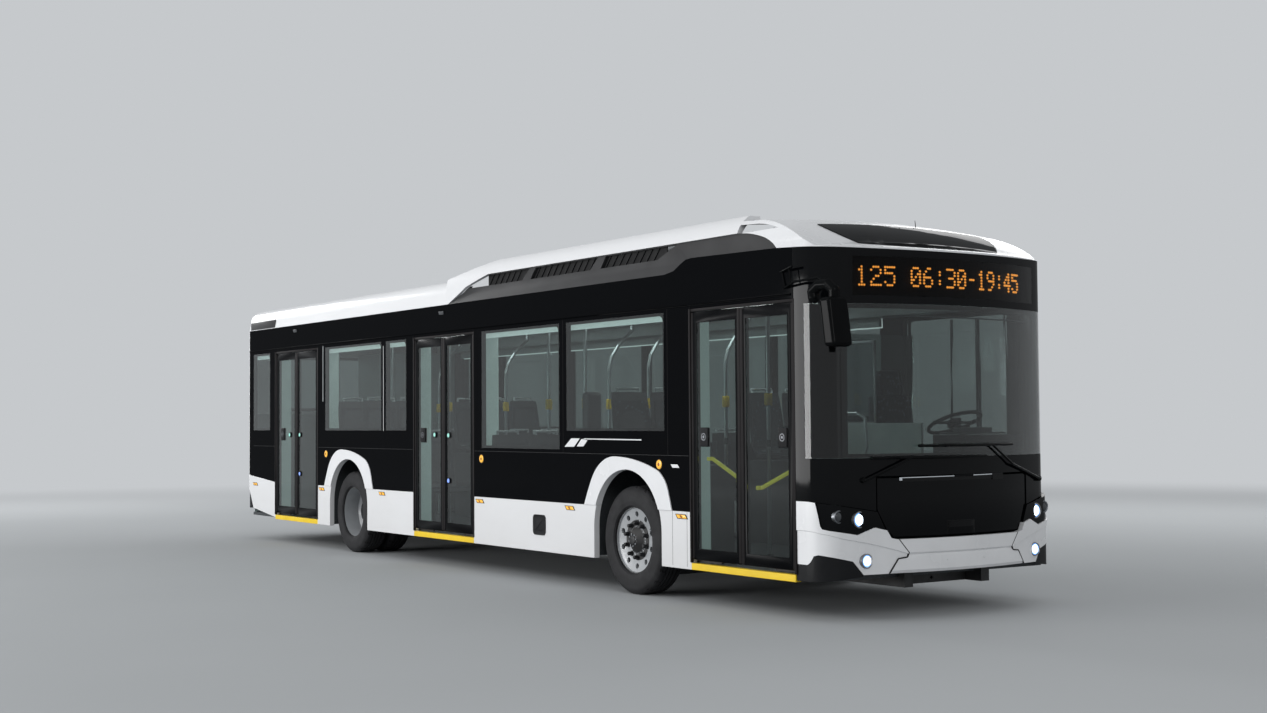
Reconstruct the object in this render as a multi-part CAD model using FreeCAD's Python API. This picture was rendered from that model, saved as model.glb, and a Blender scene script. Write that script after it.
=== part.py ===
import FreeCAD, Part
import math
import os

# City bus, 12 m, low floor, three double doors on the right side.
# Frame: +X forward, +Y left, +Z up, z = 0 on the road, millimetres.
V = FreeCAD.Vector

# Clearances
fit_gap = 0.3
running_gap = 5.0
cut_over = 1.0

# Body shell
half_width = 1275.0
wall = 60.0
rear_face = -6150.0
nose_face = 5920.0
nose_radius = 2950.0
nose_corner_radius = 350.0
mask_wall = 45.0
post_margin = 20.0
skirt_bottom = 289.0
skirt_top = 769.0
tail_foot = 312.0
tail_top = 842.0
tail_corner = (-5962.0, 405.0)
window_line = 2500.0
wall_top = 2785.0
rear_wall_depth = 40.0
rear_wall_bottom = 648.0
rear_corner_radius = 35.0
inner_y = half_width - wall
wall_rear = rear_face + rear_wall_depth
corner_start = nose_face - nose_radius + math.sqrt(
    (nose_radius - nose_corner_radius) ** 2 - (half_width - nose_corner_radius) ** 2)
front_post_x = corner_start - post_margin

# Floor
floor_top = 345.0
floor_depth = 40.0
floor_bottom = floor_top - floor_depth
floor_front = 5640.0

# Axles and wheels
front_axle_x = 3075.0
rear_axle_x = -2875.0
tyre_radius = 478.0
tyre_width = 275.0
tyre_shoulder = 46.0
rim_radius = 296.0
rim_width = 210.0
rim_wall = 12.0
axle_z = tyre_radius
wheel_y = half_width - 182.0
twin_spacing = 312.0
kingpin_y = wheel_y - 193.0
kingpin_radius = 18.0
kingpin_boss_radius = 40.0
kingpin_boss_half = 58.0
yoke_thickness = 30.0
stub_radius = 42.0
hub_radius = 125.0
front_nut_circle = 152.0
rear_nut_circle = 167.0
nut_radius = 14.0
nut_length = 28.0
nut_count = 10
hole_circle = 230.0
hole_radius = 24.0
disc_thickness = 12.0

# Wheel arches
arch_opening_radius = 535.0
arch_lift = 90.0
arch_centre_shift = -15.0
arch_trim_proud = 10.0

# Outer edge of an arch trim: (distance forwards from the arch's centre, height)
arch_edge = [(-690.0, skirt_top), (-629.0, 891.0, "arc"), (-561.0, 1009.0), (-383.0, 1170.0, "arc"),
             (-151.0, 1217.0), (171.0, 1187.0, "arc"), (484.0, 1108.0), (575.0, 1045.0, "arc"),
             (645.0, 930.0), (698.0, skirt_top)]

# Doorways on the right side
door_width = 1350.0
rear_door = (-5180.0, -3800.0)
middle_door = (-1140.0, 230.0)
front_door = (front_post_x - door_width, front_post_x)
tail_start = rear_door[0]
door_top = 2470.0
sill_top = floor_top
sill_height = 55.0
leaf_thickness = 40.0
leaf_recess = 10.0
leaf_bottom = 378.0
leaf_top = 2440.0
leaf_seam = 12.0
leaf_jamb_gap = 20.0
leaf_frame = 62.0
leaf_kick = 90.0
leaf_glass = 8.0
leaf_glass_setback = 6.0
post_setback = 15.0
post_radius = 15.0
link_offset = 50.0
roller_inset = 20.0
roller_radius = 8.0
arm_width = 24.0
arm_thickness = 18.0
arm_clearance = 7.0
arm_pin_radius = 7.0
lug_thickness = 20.0

# Side windows: (rear edge, front edge, bottom, top)
window_top = 2460.0
window_bottom = 1445.0
low_window_bottom = 1270.0
right_windows = [
    (-5955.0, -5370.0, window_bottom, window_top),
    (-3560.0, -1970.0, window_bottom, window_top),
    (-1850.0, -1330.0, window_bottom, window_top),
    (410.0, 1930.0, low_window_bottom, window_top),
    (2060.0, 3650.0, window_bottom, window_top),
]
left_windows = [
    (-4600.0, -3680.0, window_bottom, window_top),
    (-3560.0, -1970.0, window_bottom, window_top),
    (-1850.0, -330.0, low_window_bottom, window_top),
    (-210.0, 1930.0, low_window_bottom, window_top),
    (2060.0, 3650.0, window_bottom, window_top),
    (3980.0, 5230.0, 1180.0, window_top),
]
window_glass = 12.0

# Roof
deck_thickness = 40.0
deck_edge_gap = 8.0
cove_wall = 35.0
cove_width = 275.0
cove_inner_y = half_width - cove_width
cove_round = 165.0
low_crest = 3050.0
high_crest = 3200.0
ramp_rear_x = -330.0
ramp_lead = 60.0
ramp_knee = (40.0, 2940.0)
ramp_front_x = 490.0
ramp_gap = 1.5
fairing_top = 3045.0
fairing_inset = 50.0
fairing_wall = 30.0
fairing_y = half_width - fairing_inset
fairing_bend = 2885.0
fairing_ledge = wall_top + deck_thickness + running_gap
fairing_opening_bottom = 2930.0
fairing_bar = 10.0

# Air openings in the fairings: (rear end, front end, rear slant, front slant)
fairing_spans = [(60.0, 1296.0, 130.0, 140.0), (1317.0, 2544.0, 100.0, 138.0), (2585.0, 3777.0, 88.0, 288.0)]

# Roof cap over the nose
cap_bottom = 2836.0
cap_wall = 30.0
cap_crest_x = 4650.0
cap_brow = (4900.0, 3186.0)
cap_cheek_bend = (4840.0, 3024.0)
cap_cheek = (5000.0, 2985.0)
cap_side_bend = (5108.0, 2936.0)
cap_side_front = (5178.0, 2877.0)
cap_slope_top = (5244.0, 3100.0)
cap_slope_foot = (5578.0, 2925.0)
cap_lip_top = 2852.0
cap_crown_radius = 13500.0
inset_proud = 8.0
inset_rear_half = half_width - 375.0
inset_front_half = half_width - 508.0
inset_bend = (5450.0, half_width - 410.0)
inset_nose_x = 5840.0

# Side wall's climb towards the nose, over the front of the roof edge
wall_rise_line = [(3660.0, wall_top), (3800.0, 2808.0), (3893.0, 2855.0), (3977.0, 2890.0), (4060.0, 2897.0),
                  (4930.0, 2883.0)]

# Equipment on the roof: (rear end, front end, half width, top)
roof_boxes = [
    (400.0, 1400.0, 900.0, 3110.0), (1500.0, 2500.0, 900.0, 3110.0), (2600.0, 3600.0, 900.0, 3110.0),
    (3700.0, 4700.0, 900.0, 3110.0), (-1910.0, -1400.0, 900.0, 3020.0), (-2900.0, -2020.0, 900.0, 2990.0),
    (-5300.0, -3900.0, 850.0, 2960.0), (-6000.0, -5500.0, 600.0, 2930.0),
]
roof_box_bevel = 45.0

# Front end
mask_bottom = 1098.0
screen_bottom = 1237.0
screen_top = 2420.0
screen_side_x = front_post_x + 115.0
screen_glass = 12.0
display_bottom = 2470.0
display_top = 2790.0
display_half_width = half_width - 275.0
display_rear_x = front_post_x + 200.0
flap_top_gap = 16.0
flap_recess = 8.0
flap_thickness = 24.0
flap_hinge_length = 200.0
hinge_radius = 7.7
hinge_strap = 5.0
nose_seam = 4.0
bumper_top = 615.0
bumper_bottom = 358.0
bumper_face = 5930.0
bumper_radius = 3300.0
bumper_corner_radius = 250.0
bumper_thickness = 45.0
inlet_recess = 10.0
lamp_recess = 14.0
lamp_depth = 90.0
lamp_rear_x = front_post_x + 190.0
corner_top = 911.0
corner_foot_drop = 5.0
inlet_bottom = 296.0
lip_top = 405.0
plate_front_z = 440.0
plate_rear_z = 520.0

# Section of the bumper's middle: (distance behind its face, height); it is swung round the nose
middle_section = [(0.0, bumper_top), (0.0, 512.0), (12.0, 497.0), (3.0, 478.0), (0.0, 380.0),
                  (14.0, bumper_bottom)]
middle_swing = 15.0

# Front view outlines of the nose pieces: (distance inwards from the body side, height)
bumper_seam = [(626.0, bumper_top), (712.0, 512.0), (697.0, 478.0), (619.0, 470.0), (541.0, bumper_bottom)]
inlet_edge = [(334.0, bumper_bottom - 3.0), (251.0, 459.0), (34.0, 509.0), (19.0, 500.0), (6.0, 418.0),
              (-cut_over, lip_top)]
corner_crease = [(-cut_over, 690.0), (36.0, 673.0), (169.0, 633.0), (382.0, 590.0), (505.0, 560.0),
                 (622.0, 529.0),
                 (700.0, 505.0)]
crease_depth = 8.0
lamp_lower_edge = [(18.0, 903.0), (36.0, 727.0), (45.0, 704.0), (82.0, 693.0), (289.0, 657.0), (426.0, 710.0),
                   (523.0, 687.0), (560.0, 627.0)]
lamp_upper_edge = [(456.0, 828.0), (21.0, 903.0)]
flap_edge = [(600.0, 635.0), (543.0, 690.0), (474.0, 828.0), (466.0, 850.0), (466.0, mask_bottom)]
mask_corner = [(452.0, mask_bottom), (452.0, 833.0)]

# Wipers: (distance to the left, height) of pivot, knee and arm end, then the reach of the level blade
wiper_stand = 30.0
wiper_arm = 11.0
wiper_rod = 9.0
wiper_boss = 22.0
wiper_boss_depth = 30.0
right_wiper = ((-930.0, 1070.0), (-691.0, 1176.0), (-550.0, 1238.0), (-640.0, 220.0))
left_wiper = ((1030.0, 1035.0), (570.0, 1167.0), (300.0, 1327.0), (-479.0, 575.0))
blade_runs = 6

# Chassis
rail_y = half_width - 855.0
rail_width = 90.0
rail_depth = 80.0
rail_bottom = floor_bottom - rail_depth
rail_front = floor_front - 100.0
horn_gap = 10.0
horn_width = 70.0
horn_bottom = bumper_bottom + 12.0
horn_top = bumper_bottom + 110.0
cross_width = 80.0
cross_places = [-5900.0, -4900.0, -3900.0, rear_axle_x - 65.0, -2100.0, -1100.0, -100.0, 900.0, 1650.0,
                front_axle_x - 675.0, front_axle_x + 625.0, 4600.0]
jack_pad = 130.0
jack_pad_depth = 15.0
jack_places = [front_axle_x - 635.0, rear_axle_x + 815.0]
beam_depth = 70.0
beam_half_width = 60.0
rear_beam_half_width = 90.0
tow_thread_radius = 13.5
tow_boss_depth = 80.0
plate_hole_radius = 3.0
plate_hole_spacing = 400.0

# Wheel boxes
box_wall = 20.0
front_box_half = 600.0
front_box_y = wheel_y - 533.0
rear_box_half = 560.0
rear_box_y = wheel_y - 643.0
box_top = 1120.0

# Cabin
ceiling_z = 2600.0
ceiling_thickness = 20.0
ceiling_front = front_post_x - 200.0
duct_bottom = 2480.0
duct_width = 265.0
duct_wall = 20.0
duct_y = inner_y - duct_width
pole_radius = 17.0
pole_y = half_width - 945.0
right_poles = [-5300.0, -3640.0, -2100.0, -1300.0, 400.0, 1230.0, 2420.0, 3900.0]
left_poles = [-3640.0, -2100.0, 300.0, 1500.0, 2420.0, 3800.0]

# Passenger seats: (side, rear end)
seat_width = 430.0
seat_depth = 430.0
seat_panel = 50.0
seat_rake = 60.0
seat_wall_gap = 5.0
seat_height = 455.0
seat_back_height = 1060.0
box_seat_height = 110.0
box_seat_back_height = 660.0
pedestal_width = 240.0
pedestal_rear = 60.0
pedestal_front = 340.0
floor_seats = [(-1, 560.0), (-1, 1330.0), (-1, -1900.0), (1, -4500.0), (1, -1900.0), (1, 900.0), (1, 1640.0)]
box_seats = [(-1, 2780.0), (-1, -3260.0), (-1, -2560.0), (1, -3260.0), (1, -2560.0), (1, 2780.0)]

# Engine casing in the rear left corner
tower_front = -4900.0
tower_y = half_width - 945.0
tower_wall = 20.0
engine_front = tower_front - 150.0
engine_gap = 65.0
engine_top = 1400.0

# Driver's place
cab_rear_x = 4060.0
cab_side_y = 180.0
cab_floor = 700.0
cab_back_thickness = 40.0
cab_back_top = 2300.0
cab_door_thickness = 30.0
cab_door_front = 5250.0
cab_door_top = 1500.0
platform_front = 5500.0
driver_y = 640.0
driver_seat_x = 4430.0
driver_cushion_bottom = 1080.0
driver_cushion_top = 1200.0
driver_back_top = 1960.0
driver_seat_half = 250.0
driver_seat_depth = 480.0
driver_base_half = 160.0
front_wall_thickness = 40.0
front_wall_top = screen_bottom - 60.0
desk_rear_x = 5330.0
desk_right_y = 240.0
desk_left_y = 1100.0
desk_top = 1330.0
desk_hood = 70.0
steering_wheel_centre = (5180.0, driver_y, 1500.0)
steering_wheel_radius = 225.0
steering_wheel_rod = 16.0
steering_spoke_rod = 12.0
steering_hub_radius = 60.0
steering_hub_depth = 50.0
column_radius = 35.0
column_length = 240.0

# Rear end
hatch_bottom = 720.0
hatch_top = 1560.0
hatch_half_width = half_width - 375.0
hatch_gap = 6.0
hatch_recess = 8.0
hatch_thickness = 27.0
hatch_hinge_length = 200.0
louvre_height = 22.0
louvre_pitch = 60.0
louvre_rows = 8
louvre_half = half_width - 575.0
rear_window_bottom = 1700.0
rear_window_top = 2450.0
rear_window_half = half_width - 375.0
rear_bumper_inset = 20.0
rear_bumper_bottom = 400.0
rear_lamp_size = 110.0
rear_lamp_depth = 25.0
rear_lamp_inset = 85.0
rear_lamp_rows = [800.0, 930.0, 1060.0, 1190.0]
high_lamp_z = 2600.0
high_lamp_height = 60.0

# Right mirror: two bars with struts between them, then the elbow and the housing
mirror_y = -half_width - 145.0
bar_radius = 10.0
strut_radius = 7.0
upper_bar = [(5233.0, -half_width + 5.0, 2683.0), (5463.0, -half_width - 75.0, 2705.0),
             (5532.0, -half_width - 95.0, 2721.0), (5932.0, mirror_y, 2675.0), (6027.0, mirror_y, 2613.0),
             (6072.0, mirror_y, 2550.0), (6060.0, mirror_y, 2440.0)]
lower_bar = [(5273.0, -half_width + 5.0, 2554.0), (5488.0, -half_width - 80.0, 2584.0),
             (5853.0, mirror_y, 2588.0),
             (5931.0, mirror_y, 2550.0)]
mirror_struts = [((5262.0, -half_width - 5.0, 2686.0), (5300.0, -half_width - 6.0, 2558.0)),
                 ((5406.0, -half_width - 55.0, 2700.0), (5432.0, -half_width - 58.0, 2576.0))]
mirror_elbow = [(5800.0, mirror_y, 2440.0), (5790.0, mirror_y, 2490.0), (5865.0, mirror_y, 2532.0),
                (5968.0, mirror_y, 2530.0), (6030.0, mirror_y, 2482.0), (6030.0, mirror_y, 2420.0)]
elbow_radius = 42.0
housing_rear_x = 5960.0
housing_depth = 120.0
housing_lean = 55.0
housing_width = 190.0
housing_bottom = 2065.0
housing_top = 2430.0
housing_round = 30.0
left_mirror_x = 5100.0
left_mirror_reach = 240.0
left_arm_z = 2560.0


def box(x0, x1, y0, y1, z0, z1):
    low = V(min(x0, x1), min(y0, y1), min(z0, z1))
    return Part.makeBox(abs(x1 - x0), abs(y1 - y0), abs(z1 - z0), low)


def both_sides(shape):
    mirrored = shape.mirror(V(0, 0, 0), V(0, 1, 0))
    return [shape, mirrored]


def group(shapes):
    return Part.makeCompound(shapes)


def fused(shapes):
    whole = shapes[0].multiFuse(shapes[1:]) if len(shapes) > 1 else shapes[0]
    return whole.removeSplitter()


def edges_through(points, plane):
    """Edges along an outline; a point written with a third value is the middle of an arc."""
    edges = []
    place = 0
    while place < len(points) - 1:
        start = plane(*points[place][:2])
        following = points[place + 1]
        if len(following) == 3:
            edges.append(Part.Arc(start, plane(*following[:2]), plane(*points[place + 2][:2])).toShape())
            place += 2
        else:
            edges.append(Part.makeLine(start, plane(*following)))
            place += 1
    return edges


def face_in_plane(points, plane):
    return Part.Face(Part.Wire(edges_through(points + points[:1], plane)))


def side_prism(points, y0, y1):
    face = face_in_plane(points, lambda x, z: V(x, y0, z))
    return face.extrude(V(0, y1 - y0, 0))


def cross_prism(points, x0, x1):
    face = face_in_plane(points, lambda y, z: V(x0, y, z))
    return face.extrude(V(x1 - x0, 0, 0))


def plan_prism(points, z0, z1):
    face = face_in_plane(points, lambda x, y: V(x, y, z0))
    return face.extrude(V(0, 0, z1 - z0))


def rod(start, end, radius):
    axis = V(*end) - V(*start)
    return Part.makeCylinder(radius, axis.Length, V(*start), axis)


def save(name, shape):
    shape.exportStep("parts/" + name + ".step")


def nose_plan(face, radius, corner_radius, half):
    """Plan outline from the right corner round the nose to the left, as a wire's edges."""
    corner_y = half - corner_radius
    centre_x = face - radius
    corner_x = centre_x + math.sqrt((radius - corner_radius) ** 2 - corner_y ** 2)
    reach = radius / (radius - corner_radius)
    tangent = V(centre_x + (corner_x - centre_x) * reach, corner_y * reach, 0)
    bend = math.atan2(tangent.y - corner_y, tangent.x - corner_x)
    middle_angle = (bend + math.pi / 2) / 2
    middle = V(corner_x + corner_radius * math.cos(middle_angle),
               corner_y + corner_radius * math.sin(middle_angle), 0)
    side = V(corner_x, half, 0)
    flip = lambda p: V(p.x, -p.y, 0)
    right = Part.Arc(flip(side), flip(middle), flip(tangent)).toShape()
    front = Part.Arc(flip(tangent), V(face, 0, 0), tangent).toShape()
    left = Part.Arc(tangent, middle, side).toShape()
    return [right, front, left]


def nose_solid(back_x, face, radius, corner_radius, half, z0, z1):
    curves = nose_plan(face, radius, corner_radius, half)
    first = curves[0].Vertexes[0].Point
    last = curves[-1].Vertexes[-1].Point
    corners = [last, V(back_x, half, 0), V(back_x, -half, 0), first]
    straight = [Part.makeLine(a, b) for a, b in zip(corners, corners[1:])]
    wire = Part.Wire(Part.__sortEdges__(curves + straight))
    base = Part.Face(wire)
    base.translate(V(0, 0, z0))
    return base.extrude(V(0, 0, z1 - z0))


def mask_plan(back_x, inset, z0, z1):
    return nose_solid(back_x, nose_face - inset, nose_radius - inset, nose_corner_radius - inset,
                      half_width - inset, z0, z1)


def bumper_plan(back_x, inset, z0, z1):
    return nose_solid(back_x, bumper_face - inset, bumper_radius - inset, bumper_corner_radius - inset,
                      half_width - inset, z0, z1)


def nose_x(y):
    """Where the mask's outer face stands at a distance from the middle."""
    return nose_face - nose_radius + math.sqrt(nose_radius ** 2 - y ** 2)


def from_side(points):
    """Front view outline from distances inwards from the body side."""
    return [(half_width - inset, z) for inset, z in points]


def mirrored_outline(points):
    """Closed front view outline from the points of one side, listed from the bottom up."""
    return points + [(-y, z) for y, z in points[::-1]]


def moved(points, dy, dz):
    return [(y + dy, z + dz) for y, z in points]


def nose_prism(points):
    """Block through the whole nose with a front view outline."""
    return cross_prism(points, front_post_x - cut_over, bumper_face + cut_over)


def arch_opening(axle_x, y0, y1):
    centre_z = axle_z + arch_lift
    centre_x = axle_x + arch_centre_shift
    top = Part.makeCylinder(arch_opening_radius, abs(y1 - y0), V(centre_x, min(y0, y1), centre_z), V(0, 1, 0))
    legs = box(centre_x - arch_opening_radius, centre_x + arch_opening_radius, y0, y1, 0, centre_z)
    return fused([top, legs])


def arch_outline(axle_x, y0, y1):
    """Outer edge of the arch trim: round rear shoulder, top that falls forwards, round front shoulder."""
    centre_x = axle_x + arch_centre_shift
    placed = [(centre_x + point[0],) + tuple(point[1:]) for point in arch_edge]
    return side_prism(placed, y0, y1)


def window_cut(window, side):
    rear, front, bottom, top = window
    return box(rear, front, side * (inner_y - cut_over), side * (half_width + cut_over), bottom, top)


def tail_skirt(y0, y1):
    """White panel behind the rear doorway: it rises rearwards and its lower rear corner is cut away."""
    outline = [(tail_start, tail_foot), (tail_start, skirt_top), (wall_rear, tail_top),
               (wall_rear, rear_wall_bottom),
               tail_corner]
    return side_prism(outline, y0, y1)


def wall_section(x0, x1, side, windows):
    section = box(x0, x1, side * inner_y, side * half_width, skirt_top, window_line)
    y0 = side * (inner_y - cut_over)
    y1 = side * (half_width + cut_over)
    for window in windows:
        if window[0] > x0 and window[1] < x1:
            section = section.cut(window_cut(window, side))
    for axle_x in (front_axle_x, rear_axle_x):
        if x0 < axle_x < x1:
            section = section.cut(arch_outline(axle_x, y0, y1))
    if x0 < tail_start:
        section = section.cut(tail_skirt(y0, y1))
    return section


def side_wall_right():
    spans = [(wall_rear, rear_door[0]), (rear_door[1], middle_door[0]), (middle_door[1], front_door[0])]
    sections = [wall_section(x0, x1, -1, right_windows) for x0, x1 in spans]
    save("side_wall_right", group(sections))


def side_wall_left():
    save("side_wall_left", wall_section(wall_rear, front_post_x, 1, left_windows))


def cap_line_z(x):
    """Height of the roof cap's lower edge along the body side."""
    fall = (cap_side_front[1] - cap_bottom) / (nose_face - cap_side_front[0])
    return cap_bottom + (nose_face - x) * fall


def wall_rise(side, drop=0.0):
    """Where the side wall climbs towards the nose, over the front of the roof edge."""
    front_edge = [(front_post_x, cap_line_z(front_post_x)), (front_post_x, wall_top - drop)]
    outline = wall_rise_line + [cap_side_front] + front_edge
    if drop:
        outline.append((wall_rise_line[0][0], wall_top - drop))
    thin = side_prism(outline, side * (half_width - cove_wall), side * half_width)
    thick = side_prism(outline, side * (fairing_y - fairing_wall), side * half_width)
    over_deck = box(wall_rear, nose_face, -half_width, half_width, fairing_ledge, high_crest)
    return thin.fuse(thick.common(over_deck))


def cantrails():
    """Long boxes above the windows and doors, one each side, that rise over their front ends."""
    right = box(wall_rear, front_post_x, -inner_y, -half_width, window_line, wall_top)
    for x0, x1 in (rear_door, middle_door, front_door):
        right = right.fuse(box(x0, x1, -inner_y, -half_width, door_top, window_line))
    left = box(wall_rear, front_post_x, inner_y, half_width, window_line, wall_top)
    save("cantrails", group([fused([right, wall_rise(-1)]), fused([left, wall_rise(1)])]))


def skirt(x0, x1, side):
    y0 = side * inner_y
    y1 = side * half_width
    start = max(x0, tail_start)
    pieces = [box(start, x1, y0, y1, skirt_bottom, skirt_top)] if x1 > start else []
    if x0 < tail_start:
        pieces.append(tail_skirt(y0, y1))
    panel = fused(pieces)
    for axle_x in (front_axle_x, rear_axle_x):
        panel = panel.cut(arch_opening(axle_x, side * (inner_y - cut_over), side * (half_width + cut_over)))
    return panel


def skirt_panels():
    """White lower panels; the right side has one for each stretch between doorways and wheels."""
    front_arch = front_axle_x + arch_centre_shift
    rear_arch = rear_axle_x + arch_centre_shift
    right_spans = [(wall_rear, rear_door[0]), (rear_door[1], rear_arch), (rear_arch, middle_door[0]),
                   (middle_door[1], front_arch), (front_arch, front_door[0])]
    left_spans = [(wall_rear, rear_arch), (rear_arch, front_arch), (front_arch, front_post_x)]
    panels = [skirt(x0, x1, -1) for x0, x1 in right_spans]
    panels += [skirt(x0, x1, 1) for x0, x1 in left_spans]
    save("skirt_panels", group(panels))


def arch_trims():
    trims = []
    for side in (-1, 1):
        for axle_x in (front_axle_x, rear_axle_x):
            face_y = half_width + arch_trim_proud
            outer = arch_outline(axle_x, side * inner_y, side * face_y)
            trims.append(outer.cut(arch_opening(axle_x, side * (inner_y - cut_over),
                                                side * (face_y + cut_over))))
    save("arch_trims", group(trims))


def door_sills():
    sills = [box(x0, x1, -inner_y, -half_width, sill_top - sill_height, sill_top)
             for x0, x1 in (rear_door, middle_door, front_door)]
    save("door_sills", group(sills))


def wheel_box(axle_x, half_length, inner_wall_y):
    """Closed box over one wheel, open below and towards the body side."""
    outer = box(axle_x - half_length - box_wall, axle_x + half_length + box_wall, inner_wall_y, inner_y,
                floor_top + fit_gap, box_top + box_wall)
    hollow = box(axle_x - half_length, axle_x + half_length, inner_wall_y + box_wall, inner_y + cut_over,
                 floor_bottom, box_top)
    return outer.cut(hollow)


def floor_boards():
    """Five boards: full width before, between and behind the wheel boxes, narrow between them."""
    half_gap = fit_gap / 2
    rear_y = rear_box_y + box_wall
    front_y = front_box_y + box_wall
    spans = [(wall_rear, rear_axle_x - rear_box_half, inner_y),
             (rear_axle_x - rear_box_half, rear_axle_x + rear_box_half, rear_y),
             (rear_axle_x + rear_box_half, front_axle_x - front_box_half, inner_y),
             (front_axle_x - front_box_half, front_axle_x + front_box_half, front_y),
             (front_axle_x + front_box_half, floor_front, inner_y)]
    inside_bumper = bumper_plan(wall_rear, bumper_thickness + inlet_recess + fit_gap, 0, wall_top)
    return [box(x0 + half_gap, x1 - half_gap, -y, y, floor_bottom, floor_top).common(inside_bumper)
            for x0, x1, y in spans]


def floor_deck():
    boxes = both_sides(wheel_box(front_axle_x, front_box_half, front_box_y))
    boxes += both_sides(wheel_box(rear_axle_x, rear_box_half, rear_box_y))
    save("floor_deck", group(floor_boards() + boxes))


def roof_deck():
    edge = half_width - cove_wall - deck_edge_gap
    save("roof_deck", box(wall_rear, front_post_x, -edge, edge, wall_top, wall_top + deck_thickness))


def cove_section(crest_z, inset):
    """Outer line of one roof edge in the YZ plane, inset by a wall: upright foot, round shoulder, flat crest."""
    foot_y = half_width - inset
    rise = crest_z - wall_top
    return [(foot_y, wall_top), (foot_y - cove_round * 0.08, wall_top + rise * 0.32),
            (foot_y - cove_round * 0.36, wall_top + rise * 0.76 - inset, "arc"),
            (foot_y - cove_round, crest_z - inset), (cove_inner_y, crest_z - inset)]


def mirrored_point(point):
    return (-point[0],) + tuple(point[1:])


def cove_shell(x0, x1, crest_z, side):
    outer = cove_section(crest_z, 0)
    inner = cove_section(crest_z, cove_wall)
    loop = outer + inner[::-1]
    if side < 0:
        loop = [mirrored_point(point) for point in loop]
    return cross_prism(loop, x0, x1)


def ramp_profile():
    """Side view that trims the raised roof edge at its rear ramp."""
    lead_x = ramp_rear_x - ramp_lead
    return [(lead_x, wall_top), (ramp_rear_x, wall_top), ramp_knee, (ramp_front_x, fairing_top),
            (cap_crest_x, fairing_top), (cap_crest_x, high_crest + cut_over),
            (ramp_front_x, high_crest + cut_over), (lead_x, low_crest)]


def roof_coves():
    """White bands along both roof edges: low at the rear, raised over the front two thirds."""
    coves = []
    lead_x = ramp_rear_x - ramp_lead
    for side in (-1, 1):
        low = cove_shell(wall_rear, lead_x, low_crest, side)
        high = cove_shell(lead_x, cap_crest_x, high_crest, side)
        band = high.common(side_prism(ramp_profile(), -half_width - cut_over, half_width + cut_over))
        coves.append(fused([low, band]))
    save("roof_coves", group(coves))


def fairing_openings():
    top = fairing_top - fairing_bar
    return [[(x0, fairing_opening_bottom), (x1 - front_slant, fairing_opening_bottom), (x1, top),
             (x0 + rear_slant, top)] for x0, x1, rear_slant, front_slant in fairing_spans]


def fairing_profile():
    """Side view of a fairing: under the ramp, the white band and the round end of the cap's side."""
    top = fairing_top - fit_gap
    end = [(point[0] - ramp_gap, point[1] - fit_gap) + tuple(point[2:]) for point in cap_side_curve()]
    return end + [(ramp_front_x + ramp_gap, top), (ramp_knee[0] + ramp_gap, ramp_knee[1]),
                  (ramp_rear_x + ramp_gap, wall_top), (end[0][0], wall_top)]


def roof_fairings():
    """Dark side panels that lean in from the wall under the white bands, with three long air openings each."""
    top = fairing_top - fit_gap
    section = [(half_width, wall_top), (fairing_y, fairing_bend), (fairing_y, top),
               (fairing_y - fairing_wall, top),
               (fairing_y - fairing_wall, fairing_bend), (half_width - cove_wall, fairing_ledge),
               (half_width - cove_wall, wall_top)]
    panel = cross_prism(section, ramp_rear_x, cap_side_front[0])
    panel = panel.common(side_prism(fairing_profile(), inner_y - wall, half_width + cut_over))
    panel = panel.cut(wall_rise(1, cut_over))
    for opening in fairing_openings():
        panel = panel.cut(side_prism(opening, fairing_y - fairing_wall - cut_over, fairing_y + cut_over))
    save("roof_fairings", group(both_sides(panel)))


def crowned(points):
    """Side view outline turned about a long axis deep below, so that its top is crowned across the bus."""
    swing = math.degrees(math.asin(half_width / (cap_crown_radius - high_crest + cap_bottom))) + 1
    face = face_in_plane(points, lambda x, z: V(x, 0, z))
    face.rotate(V(0, 0, high_crest - cap_crown_radius), V(1, 0, 0), -swing)
    return face.revolve(V(0, 0, high_crest - cap_crown_radius), V(1, 0, 0), 2 * swing)


def slope_line(drop):
    """Upper line of the cap in side view, from its crest down to the lip over the display."""
    points = [(cap_crest_x, high_crest), cap_brow, (cap_slope_top[0], cap_slope_top[1] + 6, "arc"),
              cap_slope_foot,
              (nose_face, cap_lip_top)]
    return [(point[0], point[1] - drop) + tuple(point[2:]) for point in points]


def cap_side_curve():
    """Lower edge of the cap's side, from the nose end of the fairing round it and up to the white band."""
    return [cap_side_front, cap_side_bend + ("arc",), cap_cheek, cap_cheek_bend + ("arc",),
            (cap_crest_x, fairing_top)]


def cap_outline(drop):
    """Side view of the cap, lowered by a drop for its hollow."""
    if drop:
        return slope_line(drop) + [(nose_face, cap_bottom - drop), (cap_crest_x, cap_bottom - drop)]
    return slope_line(0) + [(nose_face, cap_bottom)] + cap_side_curve()


def cap_cross():
    """Front view of the cap, with the round shoulders of the roof edges."""
    shoulder = cove_section(high_crest, 0)[:-1]
    left = [mirrored_point(point) for point in shoulder[::-1]]
    crest = [(half_width - cove_round, high_crest + cut_over), (cove_round - half_width, high_crest + cut_over)]
    return cross_prism(shoulder + crest + left, cap_crest_x - cut_over, nose_face + cut_over)


def front_cap():
    """White nose of the roof: crowned, sloping down to a flat lip over the display."""
    plan = mask_plan(cap_crest_x, 0, cap_bottom, high_crest + cut_over)
    inside = mask_plan(cap_crest_x - cut_over, cap_wall, cap_bottom - 2 * cut_over, high_crest)
    body = crowned(cap_outline(0)).common(plan).common(cap_cross())
    trimmed_sides = side_prism(cap_outline(0), -half_width, half_width)
    hollow = crowned(cap_outline(cap_wall)).common(inside)
    save("front_cap", body.common(trimmed_sides).cut(hollow))


def mirrored_in_plan(point):
    return (point[0], -point[1]) + tuple(point[2:])


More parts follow.
